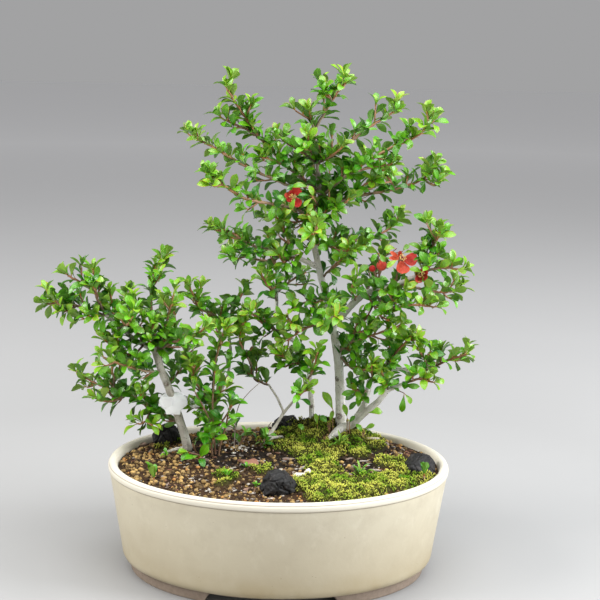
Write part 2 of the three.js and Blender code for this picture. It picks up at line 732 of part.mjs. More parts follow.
// The leafy sprays: name, the twig's radius where it leaves the wood, and its route to the tip.
// Twigs with one name are a fork, the later one starting on the first.
const SPRAYS = [
  ["top", 1.5, [29, 65, 434], [39, 63, 451], [46, 60, 463], [52, 57, 473], [58, 53, 480]],
  ["top_left", 1.8, [34, 69, 373], [5, 58, 396], [-23, 46, 425], [-43, 36, 453], [-57, 30, 475]],
  ["high_left_back", 1.8, [34, 70, 360], [5, 84, 375], [-35, 100, 390], [-72, 113, 409], [-101, 122, 422]],
  ["high_left_front", 1.8, [34, 70, 345], [1, 50, 359], [-36, 25, 368], [-60, 9, 385], [-72, 2, 394]],
  ["mid_left", 1.6, [-14, 52, 315], [-34, 40, 321], [-49, 30, 333], [-61, 22, 337]],
  ["mid_left_back", 1.4, [2, 60, 310], [-18, 80, 298], [-39, 96, 300], [-52, 106, 304]],
  ["high_right_back", 1.8, [31, 67, 404], [60, 82, 418], [86, 96, 436], [104, 106, 447], [113, 110, 452]],
  ["high_right_front", 1.9, [37, 70, 365], [63, 50, 392], [99, 28, 418], [127, 12, 434], [142, 4, 450]],
  ["right", 1.8, [36, 71, 349], [62, 73, 364], [112, 77, 375], [142, 80, 386], [152, 80, 400]],
  ["mid_right_back", 1.7, [33, 70, 316], [59, 86, 317], [90, 104, 320], [110, 116, 328], [119, 121, 338]],
  ["crown_right_front", 1.6, [134, 30, 295], [146, 22, 302], [160, 13, 306], [175, 4, 306]],
  ["crown_right_front", 1.4, [139, 26, 298], [143, 29, 307], [147, 28, 322], [152, 24, 340]],
  ["crown_right_back", 1.5, [116, 36, 285], [145, 52, 276], [166, 66, 271], [182, 76, 273]],
  ["crown_right_low", 1.5, [91, 48, 274], [108, 30, 262], [131, 14, 268], [150, 6, 268]],
  ["inner_right", 1.4, [85, 52, 272], [95, 66, 290], [102, 78, 309]],
  ["low_right_front", 1.6, [59, 77, 203], [73, 58, 219], [95, 38, 232], [118, 22, 245]],
  ["front", 1.6, [45, 72, 269], [49, 50, 262], [50, 26, 257], [54, 2, 256]],
  ["low_back", 1.6, [53, 75, 229], [46, 103, 226], [36, 128, 234]],
  ["high_back", 1.5, [35, 69, 384], [26, 98, 393], [21, 122, 411]],
  ["high_front", 1.6, [36, 71, 351], [33, 48, 344], [33, 26, 338], [29, 2, 338]],
  ["second_top", 1.5, [-6, 72, 281], [-9, 76, 300], [-16, 82, 322]],
  ["second_left", 1.5, [2, 80, 221], [-18, 60, 235], [-31, 46, 250]],
  ["second_right", 1.3, [-6, 73, 266], [11, 92, 277], [23, 110, 280]],
  ["second_low", 1.3, [28, 90, 188], [11, 64, 193], [2, 44, 206]],
  ["thin_left", 1.2, [-13, 56, 172], [-27, 62, 176], [-31, 66, 189], [-22, 70, 205]],
  ["thin_right", 1.2, [26, 38, 180], [33, 32, 195], [37, 28, 215]],
  ["far_right", 1.7, [132, 50, 192], [150, 42, 196], [170, 34, 208], [186, 28, 215]],
  ["right_back", 1.6, [93, 62, 178], [83, 80, 194], [78, 96, 212]],
  ["right_middle", 1.6, [107, 58, 191], [117, 38, 214], [129, 22, 233]],
  ["right_low", 1.5, [123, 33, 181], [139, 20, 191], [152, 12, 190]],
  ["left_leader", 1.6, [-173, 9, 253], [-181, 4, 272], [-181, 0, 288], [-183, -2, 299]],
  ["left_far", 1.5, [-172, 9, 252], [-204, 20, 259], [-222, 26, 260], [-234, 30, 258]],
  ["left_upright", 1.8, [-128, 30, 214], [-131, 36, 247], [-131, 42, 279], [-118, 48, 305]],
  ["left_front", 1.5, [-127, 30, 211], [-107, 10, 226], [-88, -8, 235], [-75, -18, 246]],
  ["left_short", 1.4, [-120, 30, 191], [-134, 14, 195], [-152, -2, 204], [-172, -10, 214]],
  ["left_low", 1.6, [-101, 31, 136], [-134, 46, 147], [-158, 58, 159], [-188, 66, 165], [-213, 72, 176]],
  ["left_back", 1.4, [-114, 30, 176], [-106, 55, 184], [-98, 80, 199]],
  ["middle", 1.5, [-69, 46, 171], [-68, 41, 192], [-63, 34, 215], [-57, 28, 236]],
  ["middle_top", 1.5, [-55, 60, 230], [-69, 54, 245], [-83, 46, 254], [-92, 38, 275]],
  ["middle_top", 1.3, [-60, 58, 236], [-49, 70, 249], [-40, 82, 266]],
].map(([name, radius, ...route]) => ({ name: `spray_${name}`, radius, route }));

function plantWood(stems, grow = 0) {
  const parts = stems.map(([start, end, sides, route]) => stem(route, start, end, sides, grow));
  return wasm.Manifold.union(parts);
}

// Adds a node that the leaves keep clear of
function addAhead(name, body, materialName, cutters) {
  const trimmed = biggestBody(cutters ? body.subtract(cutters) : body);
  remember(name, trimmed);
  addNode(name, trimmed, materialName);
}

function makeWood() {
  const fatWood = [];
  for (const [name, stems] of Object.entries(WOOD)) {
    addNode(name, biggestBody(plantWood(stems)), "bark");
    const fat = plantWood(stems, GAP);
    fatWood.push(fat);
    remember(name, fat);
  }
  return wasm.Manifold.union(fatWood);
}

// The pieces that stand or lie in the soil, each with a hollow of its own there
function makeGroundPieces() {
  const hollows = [];
  Object.entries(CHARCOAL).forEach(([name, [place, size, turn]], seed) => {
    const wider = size.map((side) => side + 4 * GAP);
    addAhead(name, lump(place, size, turn, seed), "charcoal");
    hollows.push(lump(place, wider, turn, seed));
  });
  Object.entries(SHOOTS).forEach(([name, [route, leafLength]], seed) => {
    addAhead(name, shoot(route, leafLength, seed), "leaf");
    hollows.push(stem(route, SHOOT_RADIUS, TWIG_TIP_RADIUS, TWIG_SIDES, GAP));
  });
  return hollows;
}

function makeFlowers(cutters) {
  for (const [name, route] of Object.entries(FLOWERS)) {
    addAhead(name, flower(route), "petal", cutters);
  }
  addAhead("flower_buds", buds(), "petal", cutters);
}

function makeSprays(fatWood) {
  const sideTwigs = SPRAYS.map(clearSideTwigs);
  const twigs = SPRAYS.map((spray, index) => leafyTwig(spray, index, sideTwigs[index]));
  let cutters = fatWood;
  for (const name of new Set(SPRAYS.map((spray) => spray.name))) {
    const ownTwigs = twigs.filter((_, index) => SPRAYS[index].name === name);
    const ownSprays = SPRAYS.filter((spray) => spray.name === name);
    addNode(name, biggestBody(wasm.Manifold.union(ownTwigs).subtract(cutters)), "leaf");
    const fat = ownSprays.map((spray) => asSolid(mainTwigMesh(spray, GAP)));
    cutters = wasm.Manifold.union([cutters, ...fat]);
  }
}

makePot();
makeScreen("drain_screen_left", -DRAIN_SPACING / 2);
makeScreen("drain_screen_right", DRAIN_SPACING / 2);
const fatWood = makeWood();
makeSoil([fatWood, ...makeGroundPieces()]);
addAhead("plant_label", label(), "label");
addAhead("fallen_leaf", fallenLeaf(), "deadLeaf");
SPRAYS.forEach((spray) => remember(spray.name, asSolid(mainTwigMesh(spray))));
const fatTwigs = SPRAYS.map((spray) => asSolid(mainTwigMesh(spray, GAP)));
makeFlowers(fatWood.add(wasm.Manifold.union(fatTwigs)));
makeSprays(fatWood);

// The origin is under the middle of the whole plant, on the surface that the pot stands on
const outerBox = new THREE.Box3().setFromObject(bonsai);
const middle = outerBox.getCenter(new THREE.Vector3());
bonsai.position.set(-middle.x, -middle.y, -outerBox.min.z);

export default bonsai;
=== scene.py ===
import math
import random

import bmesh
import bpy
from mathutils import Matrix, Quaternion, Vector, noise
from mathutils.bvhtree import BVHTree


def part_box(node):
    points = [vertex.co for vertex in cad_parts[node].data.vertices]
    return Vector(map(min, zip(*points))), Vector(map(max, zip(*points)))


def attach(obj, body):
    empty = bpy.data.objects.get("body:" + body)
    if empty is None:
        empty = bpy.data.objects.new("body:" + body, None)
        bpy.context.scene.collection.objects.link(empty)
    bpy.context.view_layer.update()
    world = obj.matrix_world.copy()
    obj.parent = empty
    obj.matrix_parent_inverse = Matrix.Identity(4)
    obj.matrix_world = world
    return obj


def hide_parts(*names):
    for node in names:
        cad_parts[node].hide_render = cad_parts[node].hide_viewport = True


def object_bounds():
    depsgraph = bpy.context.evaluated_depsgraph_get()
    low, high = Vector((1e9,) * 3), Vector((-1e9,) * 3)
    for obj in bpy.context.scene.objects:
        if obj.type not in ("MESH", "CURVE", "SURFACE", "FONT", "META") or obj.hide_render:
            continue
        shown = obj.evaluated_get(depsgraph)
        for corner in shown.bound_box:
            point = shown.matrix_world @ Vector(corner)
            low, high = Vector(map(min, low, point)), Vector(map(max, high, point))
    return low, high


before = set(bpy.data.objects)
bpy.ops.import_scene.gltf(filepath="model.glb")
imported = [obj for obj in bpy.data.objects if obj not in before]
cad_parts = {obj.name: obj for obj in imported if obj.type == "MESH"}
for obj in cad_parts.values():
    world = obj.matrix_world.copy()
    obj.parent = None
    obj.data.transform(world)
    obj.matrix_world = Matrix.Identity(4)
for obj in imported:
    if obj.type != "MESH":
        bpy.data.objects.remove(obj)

CAD_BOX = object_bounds()
UP = Vector((0, 0, 1))
FULL_TURN = 2 * math.pi

# The photograph's view: the camera's place from the middle of the pot, in millimetres and degrees
CAMERA_PLACE = (18.2, -1242.4, 528.6)
CAMERA_PITCH = 11.6
CAMERA_ROLL = 1.15
CAMERA_LENS = 78

# The pot
RIM = 130
OVAL_STRETCH = 40
STRETCH_FROM = 60
POT_STEPS = 160
POT_WALL = 9
# The gap between the feet: its left and right ends and its height
FOOT_CUT = (-64, 60, 9.5)
DRAIN_SPACING = 140
DRAIN_RADIUS = 13
FLOOR_TOP = 16.5
SOIL_LEVEL = 105

# Leaves and twigs, as in the solids: stations along each twig bear a side twig or a rosette
TWIG_TIP_RADIUS = 0.9
STATION_SPACING = 8.5
GOLDEN_ANGLE = 2.4
SOLID_SIDE_TWIG_EVERY = 5
SIDE_TWIG_REACH = (11, 19)
# The share of the other stations that bear a shorter side twig, and its reach
EXTRA_SIDE_TWIGS = 0.27
EXTRA_TWIG_REACH = (5, 11)
# How far leaves lean out of a whorl's middle, in radians; their size in millimetres
ROSETTE_TILTS = (0.5, 1.0)
LEAF_LENGTH = (14, 19)
LEAF_WIDTH_SHARE = (0.38, 0.49)
LEAF_TWIST = 1.3
LEAF_CLEARANCE = 0.0005
TIP_STATION = 99
# Parts of the wood that stay bare in front: the wood's y, heights from and to, its x at both heights
BARE_REACH = 8
BARE_WOOD = ((72, 288, 314, 40, 36), (72, 198, 215, 61, 57), (72, 108, 190, 63, 60),
             (58, 246, 268, 66, 82), (30, 106, 146, -90, -104), (30, 172, 206, -113, -125))

# The leafy sprays: name, the twig's radius where it leaves the wood, and its route to the tip.
# Twigs with one name are a fork, the later one starting on the first.
SPRAYS = [
    ("top", 1.5, (29, 65, 434), (39, 63, 451), (46, 60, 463), (52, 57, 473), (58, 53, 480)),
    ("top_left", 1.8, (34, 69, 373), (5, 58, 396), (-23, 46, 425), (-43, 36, 453), (-57, 30, 475)),
    ("high_left_back", 1.8, (34, 70, 360), (5, 84, 375), (-35, 100, 390), (-72, 113, 409),
     (-101, 122, 422)),
    ("high_left_front", 1.8, (34, 70, 345), (1, 50, 359), (-36, 25, 368), (-60, 9, 385),
     (-72, 2, 394)),
    ("mid_left", 1.6, (-14, 52, 315), (-34, 40, 321), (-49, 30, 333), (-61, 22, 337)),
    ("mid_left_back", 1.4, (2, 60, 310), (-18, 80, 298), (-39, 96, 300), (-52, 106, 304)),
    ("high_right_back", 1.8, (31, 67, 404), (60, 82, 418), (86, 96, 436), (104, 106, 447),
     (113, 110, 452)),
    ("high_right_front", 1.9, (37, 70, 365), (63, 50, 392), (99, 28, 418), (127, 12, 434),
     (142, 4, 450)),
    ("right", 1.8, (36, 71, 349), (62, 73, 364), (112, 77, 375), (142, 80, 386), (152, 80, 400)),
    ("mid_right_back", 1.7, (33, 70, 316), (59, 86, 317), (90, 104, 320), (110, 116, 328),
     (119, 121, 338)),
    ("crown_right_front", 1.6, (134, 30, 295), (146, 22, 302), (160, 13, 306), (175, 4, 306)),
    ("crown_right_front", 1.4, (139, 26, 298), (143, 29, 307), (147, 28, 322), (152, 24, 340)),
    ("crown_right_back", 1.5, (116, 36, 285), (145, 52, 276), (166, 66, 271), (182, 76, 273)),
    ("crown_right_low", 1.5, (91, 48, 274), (108, 30, 262), (131, 14, 268), (150, 6, 268)),
    ("inner_right", 1.4, (85, 52, 272), (95, 66, 290), (102, 78, 309)),
    ("low_right_front", 1.6, (59, 77, 203), (73, 58, 219), (95, 38, 232), (118, 22, 245)),
    ("front", 1.6, (45, 72, 269), (49, 50, 262), (50, 26, 257), (54, 2, 256)),
    ("low_back", 1.6, (53, 75, 229), (46, 103, 226), (36, 128, 234)),
    ("high_back", 1.5, (35, 69, 384), (26, 98, 393), (21, 122, 411)),
    ("high_front", 1.6, (36, 71, 351), (33, 48, 344), (33, 26, 338), (29, 2, 338)),
    ("second_top", 1.5, (-6, 72, 281), (-9, 76, 300), (-16, 82, 322)),
    ("second_left", 1.5, (2, 80, 221), (-18, 60, 235), (-31, 46, 250)),
    ("second_right", 1.3, (-6, 73, 266), (11, 92, 277), (23, 110, 280)),
    ("second_low", 1.3, (28, 90, 188), (11, 64, 193), (2, 44, 206)),
    ("thin_left", 1.2, (-13, 56, 172), (-27, 62, 176), (-31, 66, 189), (-22, 70, 205)),
    ("thin_right", 1.2, (26, 38, 180), (33, 32, 195), (37, 28, 215)),
    ("far_right", 1.7, (132, 50, 192), (150, 42, 196), (170, 34, 208), (186, 28, 215)),
    ("right_back", 1.6, (93, 62, 178), (83, 80, 194), (78, 96, 212)),
    ("right_middle", 1.6, (107, 58, 191), (117, 38, 214), (129, 22, 233)),
    ("right_low", 1.5, (123, 33, 181), (139, 20, 191), (152, 12, 190)),
    ("left_leader", 1.6, (-173, 9, 253), (-181, 4, 272), (-181, 0, 288), (-183, -2, 299)),
    ("left_far", 1.5, (-172, 9, 252), (-204, 20, 259), (-222, 26, 260), (-234, 30, 258)),
    ("left_upright", 1.8, (-128, 30, 214), (-131, 36, 247), (-131, 42, 279), (-118, 48, 305)),
    ("left_front", 1.5, (-127, 30, 211), (-107, 10, 226), (-88, -8, 235), (-75, -18, 246)),
    ("left_short", 1.4, (-120, 30, 191), (-134, 14, 195), (-152, -2, 204), (-172, -10, 214)),
    ("left_low", 1.6, (-101, 31, 136), (-134, 46, 147), (-158, 58, 159), (-188, 66, 165),
     (-213, 72, 176)),
    ("left_back", 1.4, (-114, 30, 176), (-106, 55, 184), (-98, 80, 199)),
    ("middle", 1.5, (-69, 46, 171), (-68, 41, 192), (-63, 34, 215), (-57, 28, 236)),
    ("middle_top", 1.5, (-55, 60, 230), (-69, 54, 245), (-83, 46, 254), (-92, 38, 275)),
    ("middle_top", 1.3, (-60, 58, 236), (-49, 70, 249), (-40, 82, 266)),
]

# Thinner twigs that fill the crown, in groups: each one's route starts on the wood
FILLING = {
    "left_limb": [
        [(-149, 22, 227), (-158, 16, 246), (-166, 12, 262), (-168, 10, 272)],
        [(-138, 26, 220), (-145, 18, 238), (-150, 14, 252), (-146, 10, 266)],
        [(-149, 22, 227), (-158, 34, 240), (-160, 44, 254), (-156, 50, 266)],
        [(-126, 30, 208), (-118, 22, 232), (-112, 18, 252), (-106, 16, 276)],
        [(-124, 30, 200), (-112, 40, 216), (-108, 48, 232), (-110, 52, 250)],
        [(-160, 15, 239), (-152, 0, 244), (-146, -12, 252), (-142, -18, 262)],
        [(-181, 4, 274), (-192, 2, 284), (-202, 0, 290), (-208, 0, 293)],
        [(-149, 22, 227), (-158, 14, 223), (-166, 8, 223), (-172, 4, 227)],
        [(-138, 26, 220), (-142, 16, 215), (-149, 10, 213), (-157, 6, 216)],
        [(-130, 28, 214), (-131, 16, 226), (-129, 8, 236), (-125, 4, 245)],
        [(-173, 9, 253), (-180, 4, 252), (-187, 0, 253)],
        [(-204, 20, 259), (-209, 16, 256), (-214, 12, 255)],
    ],
    "left_low": [
        [(-158, 58, 159), (-167, 50, 155), (-177, 44, 154), (-187, 40, 157)],
        [(-174, 62, 161), (-172, 54, 176), (-173, 48, 188), (-168, 42, 199)],
        [(-134, 46, 147), (-134, 36, 143), (-138, 28, 137), (-144, 24, 137)],
        [(-134, 46, 147), (-138, 42, 158), (-140, 38, 168)],
    ],
    "middle": [
        [(-74, 50, 120), (-70, 38, 140), (-66, 30, 160), (-60, 26, 180)],
        [(-71, 48, 151), (-80, 34, 170), (-88, 24, 186), (-86, 18, 200)],
        [(-6, 72, 258), (-10, 56, 270), (-16, 44, 280), (-20, 36, 290)],
        [(-55, 60, 232), (-46, 48, 234), (-38, 40, 240)],
        [(-31, 66, 189), (-36, 56, 204), (-42, 50, 217), (-42, 46, 228)],
        [(-71, 48, 151), (-78, 40, 150), (-86, 32, 153)],
    ],
    "trunk_left": [
        [(35, 70, 340), (20, 62, 342), (6, 54, 342), (-6, 48, 346)],
        [(14, 64, 305), (8, 58, 316), (4, 54, 326), (0, 50, 336)],
        [(14, 64, 305), (7, 52, 305), (1, 44, 303), (-3, 38, 310)],
        [(-23, 46, 425), (-36, 42, 434), (-50, 38, 440), (-62, 34, 446)],
        [(5, 58, 396), (-5, 50, 402), (-14, 42, 406), (-22, 38, 408)],
        [(33, 68, 400), (18, 60, 412), (4, 54, 420), (-6, 50, 428)],
        [(33, 68, 400), (26, 58, 413), (24, 50, 421), (23, 46, 428)],
        [(29, 65, 434), (26, 60, 443), (24, 56, 452)],
        [(46, 60, 463), (42, 56, 470), (39, 52, 474)],
        [(37, 71, 330), (33, 58, 338), (29, 48, 345)],
        [(37, 71, 318), (28, 62, 318), (22, 54, 312)],
        [(-39, 96, 300), (-46, 90, 298), (-54, 86, 300)],
        [(46, 73, 262), (30, 58, 262), (14, 48, 256), (4, 40, 248)],
        [(52, 75, 236), (34, 60, 236), (18, 50, 230), (6, 44, 222)],
        [(34, 70, 350), (16, 84, 352), (-2, 92, 346), (-18, 96, 340)],
    ],
    "trunk_right": [
        [(36, 70, 352), (46, 58, 356), (56, 46, 360), (64, 38, 368)],
        [(34, 70, 318), (46, 56, 318), (58, 44, 316), (70, 34, 318)],
        [(40, 72, 282), (48, 62, 293), (54, 52, 301), (60, 46, 308)],
        [(75, 58, 262), (72, 46, 270), (70, 36, 280), (74, 28, 292)],
        [(85, 52, 272), (92, 40, 262), (98, 30, 254), (106, 22, 250)],
        [(63, 50, 392), (78, 40, 398), (92, 34, 402), (104, 30, 404)],
        [(32, 68, 400), (38, 58, 404), (46, 50, 410), (56, 44, 418)],
        [(36, 71, 372), (50, 80, 380), (66, 90, 390), (82, 96, 398)],
        [(59, 86, 317), (68, 72, 315), (76, 62, 314), (82, 56, 319)],
        [(62, 73, 364), (72, 62, 375), (82, 56, 382), (91, 50, 387)],
        [(112, 77, 375), (108, 66, 383), (102, 60, 390)],
        [(142, 80, 386), (148, 74, 381), (154, 70, 382), (158, 68, 388)],
        [(147, 28, 322), (151, 22, 331), (153, 18, 338)],
        [(143, 29, 307), (149, 24, 313), (153, 20, 319)],
        [(92, 48, 274), (100, 36, 276), (110, 28, 277), (119, 22, 279)],
    ],
    "low_right": [
        [(93, 62, 178), (94, 50, 184), (93, 40, 190), (92, 32, 200)],
        [(110, 42, 173), (108, 34, 180), (106, 28, 186), (102, 22, 196)],
        [(15, 44, 160), (20, 36, 168), (26, 30, 174)],
        [(90, 62, 166), (82, 52, 168), (74, 46, 171)],
        [(107, 58, 191), (112, 66, 204), (120, 72, 214), (132, 76, 220)],
        [(60, 77, 200), (70, 62, 192), (80, 52, 190), (88, 44, 194)],
        [(150, 42, 196), (146, 34, 207), (140, 28, 217), (133, 24, 224)],
        [(73, 58, 219), (75, 50, 231), (76, 42, 241), (81, 38, 251)],
    ],
}
FILLING_RADIUS = 1.3
FILLING_SEED = 100

pot_low, pot_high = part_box("pot")
POT_MIDDLE = Vector(((pot_low.x + pot_high.x) / 2, (pot_low.y + pot_high.y) / 2, 0))
TO_ROW = Matrix.Translation(POT_MIDDLE) @ Matrix.Scale(0.001, 4)
FROM_ROW = TO_ROW.inverted()


# Small helpers for numbers

def chance(a, b, c):
    """A number from 0 to 1 that depends only on the three counts."""
    wave = math.sin(a * 12.9898 + b * 78.233 + c * 37.719) * 43758.5453
    return wave - math.floor(wave)


def between(limits, share):
    return limits[0] + (limits[1] - limits[0]) * share


def pick(share, count):
    """The number of the step from 0 to count - 1 that a share falls in."""
    return min(count - 1, max(0, int(share * count)))


def fade(value, low, high):
    """0 below low, 1 above high, and smooth between them."""
    share = min(1, max(0, (value - low) / (high - low)))
    return share * share * (3 - 2 * share)


def steps_through(table, value):
    """The height at value of a line through the points of the table."""
    for (x0, y0), (x1, y1) in zip(table, table[1:]):
        if value <= x1:
            return y0 + (y1 - y0) * (value - x0) / (x1 - x0)
    return table[-1][1]


def ripple(x, y, layer, width):
    """Soft random waves of a width in millimetres over the ground; each layer has its own."""
    return noise.noise(Vector((x, y, layer)) / width)


def bumps(place, sizes):
    """Soft random bumps at a place: sizes say how wide and how high each kind is."""
    return sum(noise.noise(place / width) * height for width, height in sizes)


# Materials: each finish is built from nodes on Object coordinates or on the piece's own layers

def srgb(red, green, blue):
    """A colour as seen on a screen, from 0 to 255, made linear."""
    parts = []
    for value in (red, green, blue):
        value /= 255
        parts.append(value / 12.92 if value <= 0.04045 else ((value + 0.055) / 1.055) ** 2.4)
    return (*parts, 1)


class Finish:
    """A material whose pattern is built up one node at a time."""

    def __init__(self, name, roughness=0.5, specular=0.5):
        self.material = bpy.data.materials.new(name)
        self.material.use_nodes = True
        self.tree = self.material.node_tree
        self.shader = self.tree.nodes["Principled BSDF"]
        self.shader.inputs["Roughness"].default_value = roughness
        self.shader.inputs["Specular IOR Level"].default_value = specular
        self.place = self.node("TexCoord").outputs["Object"]

    def node(self, kind, **settings):
        made = self.tree.nodes.new("ShaderNode" + kind)
        for name, value in settings.items():
            setattr(made, name, value)
        return made

    def feed(self, socket, value):
        if isinstance(value, bpy.types.NodeSocket):
            self.tree.links.new(value, socket)
        else:
            socket.default_value = value

    def grain(self, scale, detail=3, roughness=0.5, stretch=(1, 1, 1)):
        """Soft noise from 0 to 1; scale is its number of waves in a metre."""
        made = self.node("TexNoise")
        mapping = self.node("Mapping")
        self.feed(mapping.inputs["Vector"], self.place)
        mapping.inputs["Scale"].default_value = stretch
        self.feed(made.inputs["Vector"], mapping.outputs[0])
        made.inputs["Scale"].default_value = scale
        made.inputs["Detail"].default_value = detail
        made.inputs["Roughness"].default_value = roughness
        return made.outputs["Fac"]

    def cells(self, scale, feature="F1"):
        """Distance inside a field of cells; scale is their number in a metre."""
        made = self.node("TexVoronoi", feature=feature)
        self.feed(made.inputs["Vector"], self.place)
        made.inputs["Scale"].default_value = scale
        return made.outputs["Distance"]

    def combine(self, operation, first, second):
        made = self.node("Math", operation=operation)
        made.use_clamp = operation != "SUBTRACT"
        self.feed(made.inputs[0], first)
        self.feed(made.inputs[1], second)
        return made.outputs[0]

    def product(self, first, second):
        return self.combine("MULTIPLY", first, second)

    def window(self, value, low, high):
        """0 where value is below low, 1 above high."""
        made = self.node("MapRange")
        self.feed(made.inputs["Value"], value)
        made.inputs["From Min"].default_value = low
        made.inputs["From Max"].default_value = high
        return made.outputs["Result"]

    def mix(self, factor, first, second):
        made = self.node("Mix", data_type="RGBA")
        self.feed(made.inputs["Factor"], factor)
        self.feed(made.inputs[6], first)
        self.feed(made.inputs[7], second)
        return made.outputs[2]

    def coat(self, under, over, share, strength):
        """One colour over another: as much of it as share times strength."""
        return self.mix(self.product(share, strength), under, over)

    def layer(self, name):
        """The three numbers of one of the piece's own colour layers."""
        made = self.node("SeparateColor")
        self.feed(made.inputs[0], self.node("Attribute", attribute_name=name).outputs["Color"])
        return made.outputs["Red"], made.outputs["Green"], made.outputs["Blue"]

    def height(self):
        return self.along("Z")

    def along(self, axis):
        made = self.node("SeparateXYZ")
        self.feed(made.inputs[0], self.place)
        return made.outputs[axis]

    def colour(self, value):
        self.feed(self.shader.inputs["Base Color"], value)

    def roughness(self, value, low, high):
        made = self.node("MapRange")
        self.feed(made.inputs["Value"], value)
        made.inputs["To Min"].default_value = low
        made.inputs["To Max"].default_value = high
        self.feed(self.shader.inputs["Roughness"], made.outputs["Result"])

    def set(self, **values):
        """Sets plain values of the shader; a socket's spaces are written as _."""
        for name, value in values.items():
            self.shader.inputs[name.replace("_", " ")].default_value = value

    def relief(self, height, depth, strength=1.0):
        """Bumps of a depth in metres, on top of any made before."""
        made = self.node("Bump")
        made.inputs["Strength"].default_value = strength
        made.inputs["Distance"].default_value = depth
        self.feed(made.inputs["Height"], height)
        before = self.shader.inputs["Normal"].links
        if before:
            self.feed(made.inputs["Normal"], before[0].from_socket)
        self.feed(self.shader.inputs["Normal"], made.outputs[0])


def cream_glaze():
    finish = Finish("cream_glaze", specular=0.45)
    groove_shade, _, _ = finish.layer("painted_groove_shade")
    cloud = finish.window(finish.grain(9, 3, 0.5, (1, 1, 1.7)), 0.42, 0.62)
    colour = finish.coat(srgb(200, 192, 170), srgb(194, 185, 163), cloud, 0.7)
    mottle = finish.window(finish.grain(42, 4, 0.65), 0.46, 0.72)
    colour = finish.coat(colour, srgb(182, 172, 150), mottle, 0.5)
    pale = finish.window(finish.grain(70, 4, 0.7, (1, 1, 0.6)), 0.55, 0.75)
    colour = finish.coat(colour, srgb(222, 216, 198), pale, 0.3)
    # painted shade: the glaze is darker towards the bottom of the wall
    shade = finish.window(finish.height(), 0.085, 0.015)
    colour = finish.coat(colour, srgb(178, 166, 138), shade, 0.75)
    speck = finish.window(finish.cells(150), 0.06, 0.04)
    rare = finish.window(finish.grain(60, 2), 0.55, 0.6)
    colour = finish.coat(colour, srgb(112, 94, 72), speck, rare)
    low = finish.window(finish.height(), 0.04, 0.011)
    stain = finish.product(low, finish.window(finish.grain(26, 3), 0.3, 0.7))
    colour = finish.coat(colour, srgb(160, 142, 106), stain, 0.85)
    lip = finish.window(finish.height(), 0.1026, 0.1046)
    colour = finish.mix(lip, colour, srgb(220, 214, 198))
    # painted shade: dark lines in the rim's grooves
    colour = finish.coat(colour, srgb(112, 90, 76), groove_shade, 0.8)
    waved = finish.combine("ADD", finish.height(), finish.product(finish.grain(55, 3), 0.005))
    clay = finish.window(waved, 0.0142, 0.0134)
    taupe = finish.mix(finish.grain(210, 4, 0.7), srgb(162, 146, 130), srgb(112, 96, 84))
    finish.colour(finish.mix(clay, colour, taupe))
    finish.roughness(finish.combine("MAXIMUM", clay, finish.grain(45, 3)), 0.3, 0.75)
    finish.relief(finish.grain(120, 3), 0.0006, 0.35)
    finish.relief(finish.grain(900, 2), 0.0001, 0.5)
    return finish.material


def soil_finish():
    finish = Finish("moist_soil", roughness=0.9, specular=0.3)
    moss, humus, _ = finish.layer("cover")
    lumps = finish.grain(420, 4, 0.7)
    earth = finish.mix(lumps, srgb(24, 15, 8), srgb(78, 52, 28))
    dark = finish.mix(lumps, srgb(12, 9, 7), srgb(42, 30, 20))
    green = finish.mix(finish.grain(700, 3, 0.7), srgb(24, 24, 8), srgb(78, 80, 22))
    colour = finish.mix(humus, earth, dark)
    finish.colour(finish.mix(moss, colour, green))
    finish.relief(lumps, 0.0015, 0.9)
    finish.relief(finish.cells(900), 0.0006, 0.6)
    return finish.material


def grain_finish():
    finish = Finish("baked_clay_grains", roughness=0.75, specular=0.35)
    tone, pale, orange = finish.layer("tone")
    ochre = finish.mix(tone, srgb(46, 30, 16), srgb(204, 168, 104))
    colour = finish.mix(finish.window(orange, 0.84, 0.92), ochre, srgb(190, 118, 52))
    colour = finish.mix(finish.window(pale, 0.8, 0.95), colour, srgb(232, 216, 166))
    fine = finish.grain(1500, 3, 0.7)
    pores = finish.window(fine, 0.45, 0.75)
    finish.colour(finish.coat(colour, srgb(46, 30, 16), pores, 0.75))
    finish.relief(fine, 0.0004, 0.8)
    return finish.material


def litter_finish():
    finish = Finish("bark_chips_and_grit", roughness=0.8, specular=0.3)
    light, red, _ = finish.layer("tone")
    colour = finish.mix(light, srgb(62, 44, 36), srgb(236, 230, 218))
    colour = finish.coat(colour, srgb(150, 88, 56), red, 0.6)
    fibre = finish.window(finish.grain(900, 4, 0.7, (1, 0.3, 1)), 0.45, 0.75)
    finish.colour(finish.coat(colour, srgb(70, 46, 34), fibre, 0.6))
    finish.relief(finish.grain(900, 4, 0.7, (1, 0.3, 1)), 0.0005, 0.8)
    return finish.material


def moss_finish():
    finish = Finish("moss", roughness=0.75, specular=0.15)
    light, share, yellow = finish.layer("tone")
    tip = finish.mix(yellow, srgb(108, 154, 22), srgb(208, 210, 92))
    base = finish.mix(yellow, srgb(24, 38, 6), srgb(64, 60, 14))
    colour = finish.mix(share, base, tip)
    # painted shade: tufts with a low light value, in the cushions' creases and behind the trunks, turn
    # dark brown
    finish.colour(finish.mix(light, srgb(34, 28, 10), colour))
    finish.set(Subsurface_Weight=0.15, Subsurface_Radius=(0.0008, 0.0012, 0.0003))
    finish.relief(finish.grain(2500, 2), 0.0001, 0.5)
    return finish.material


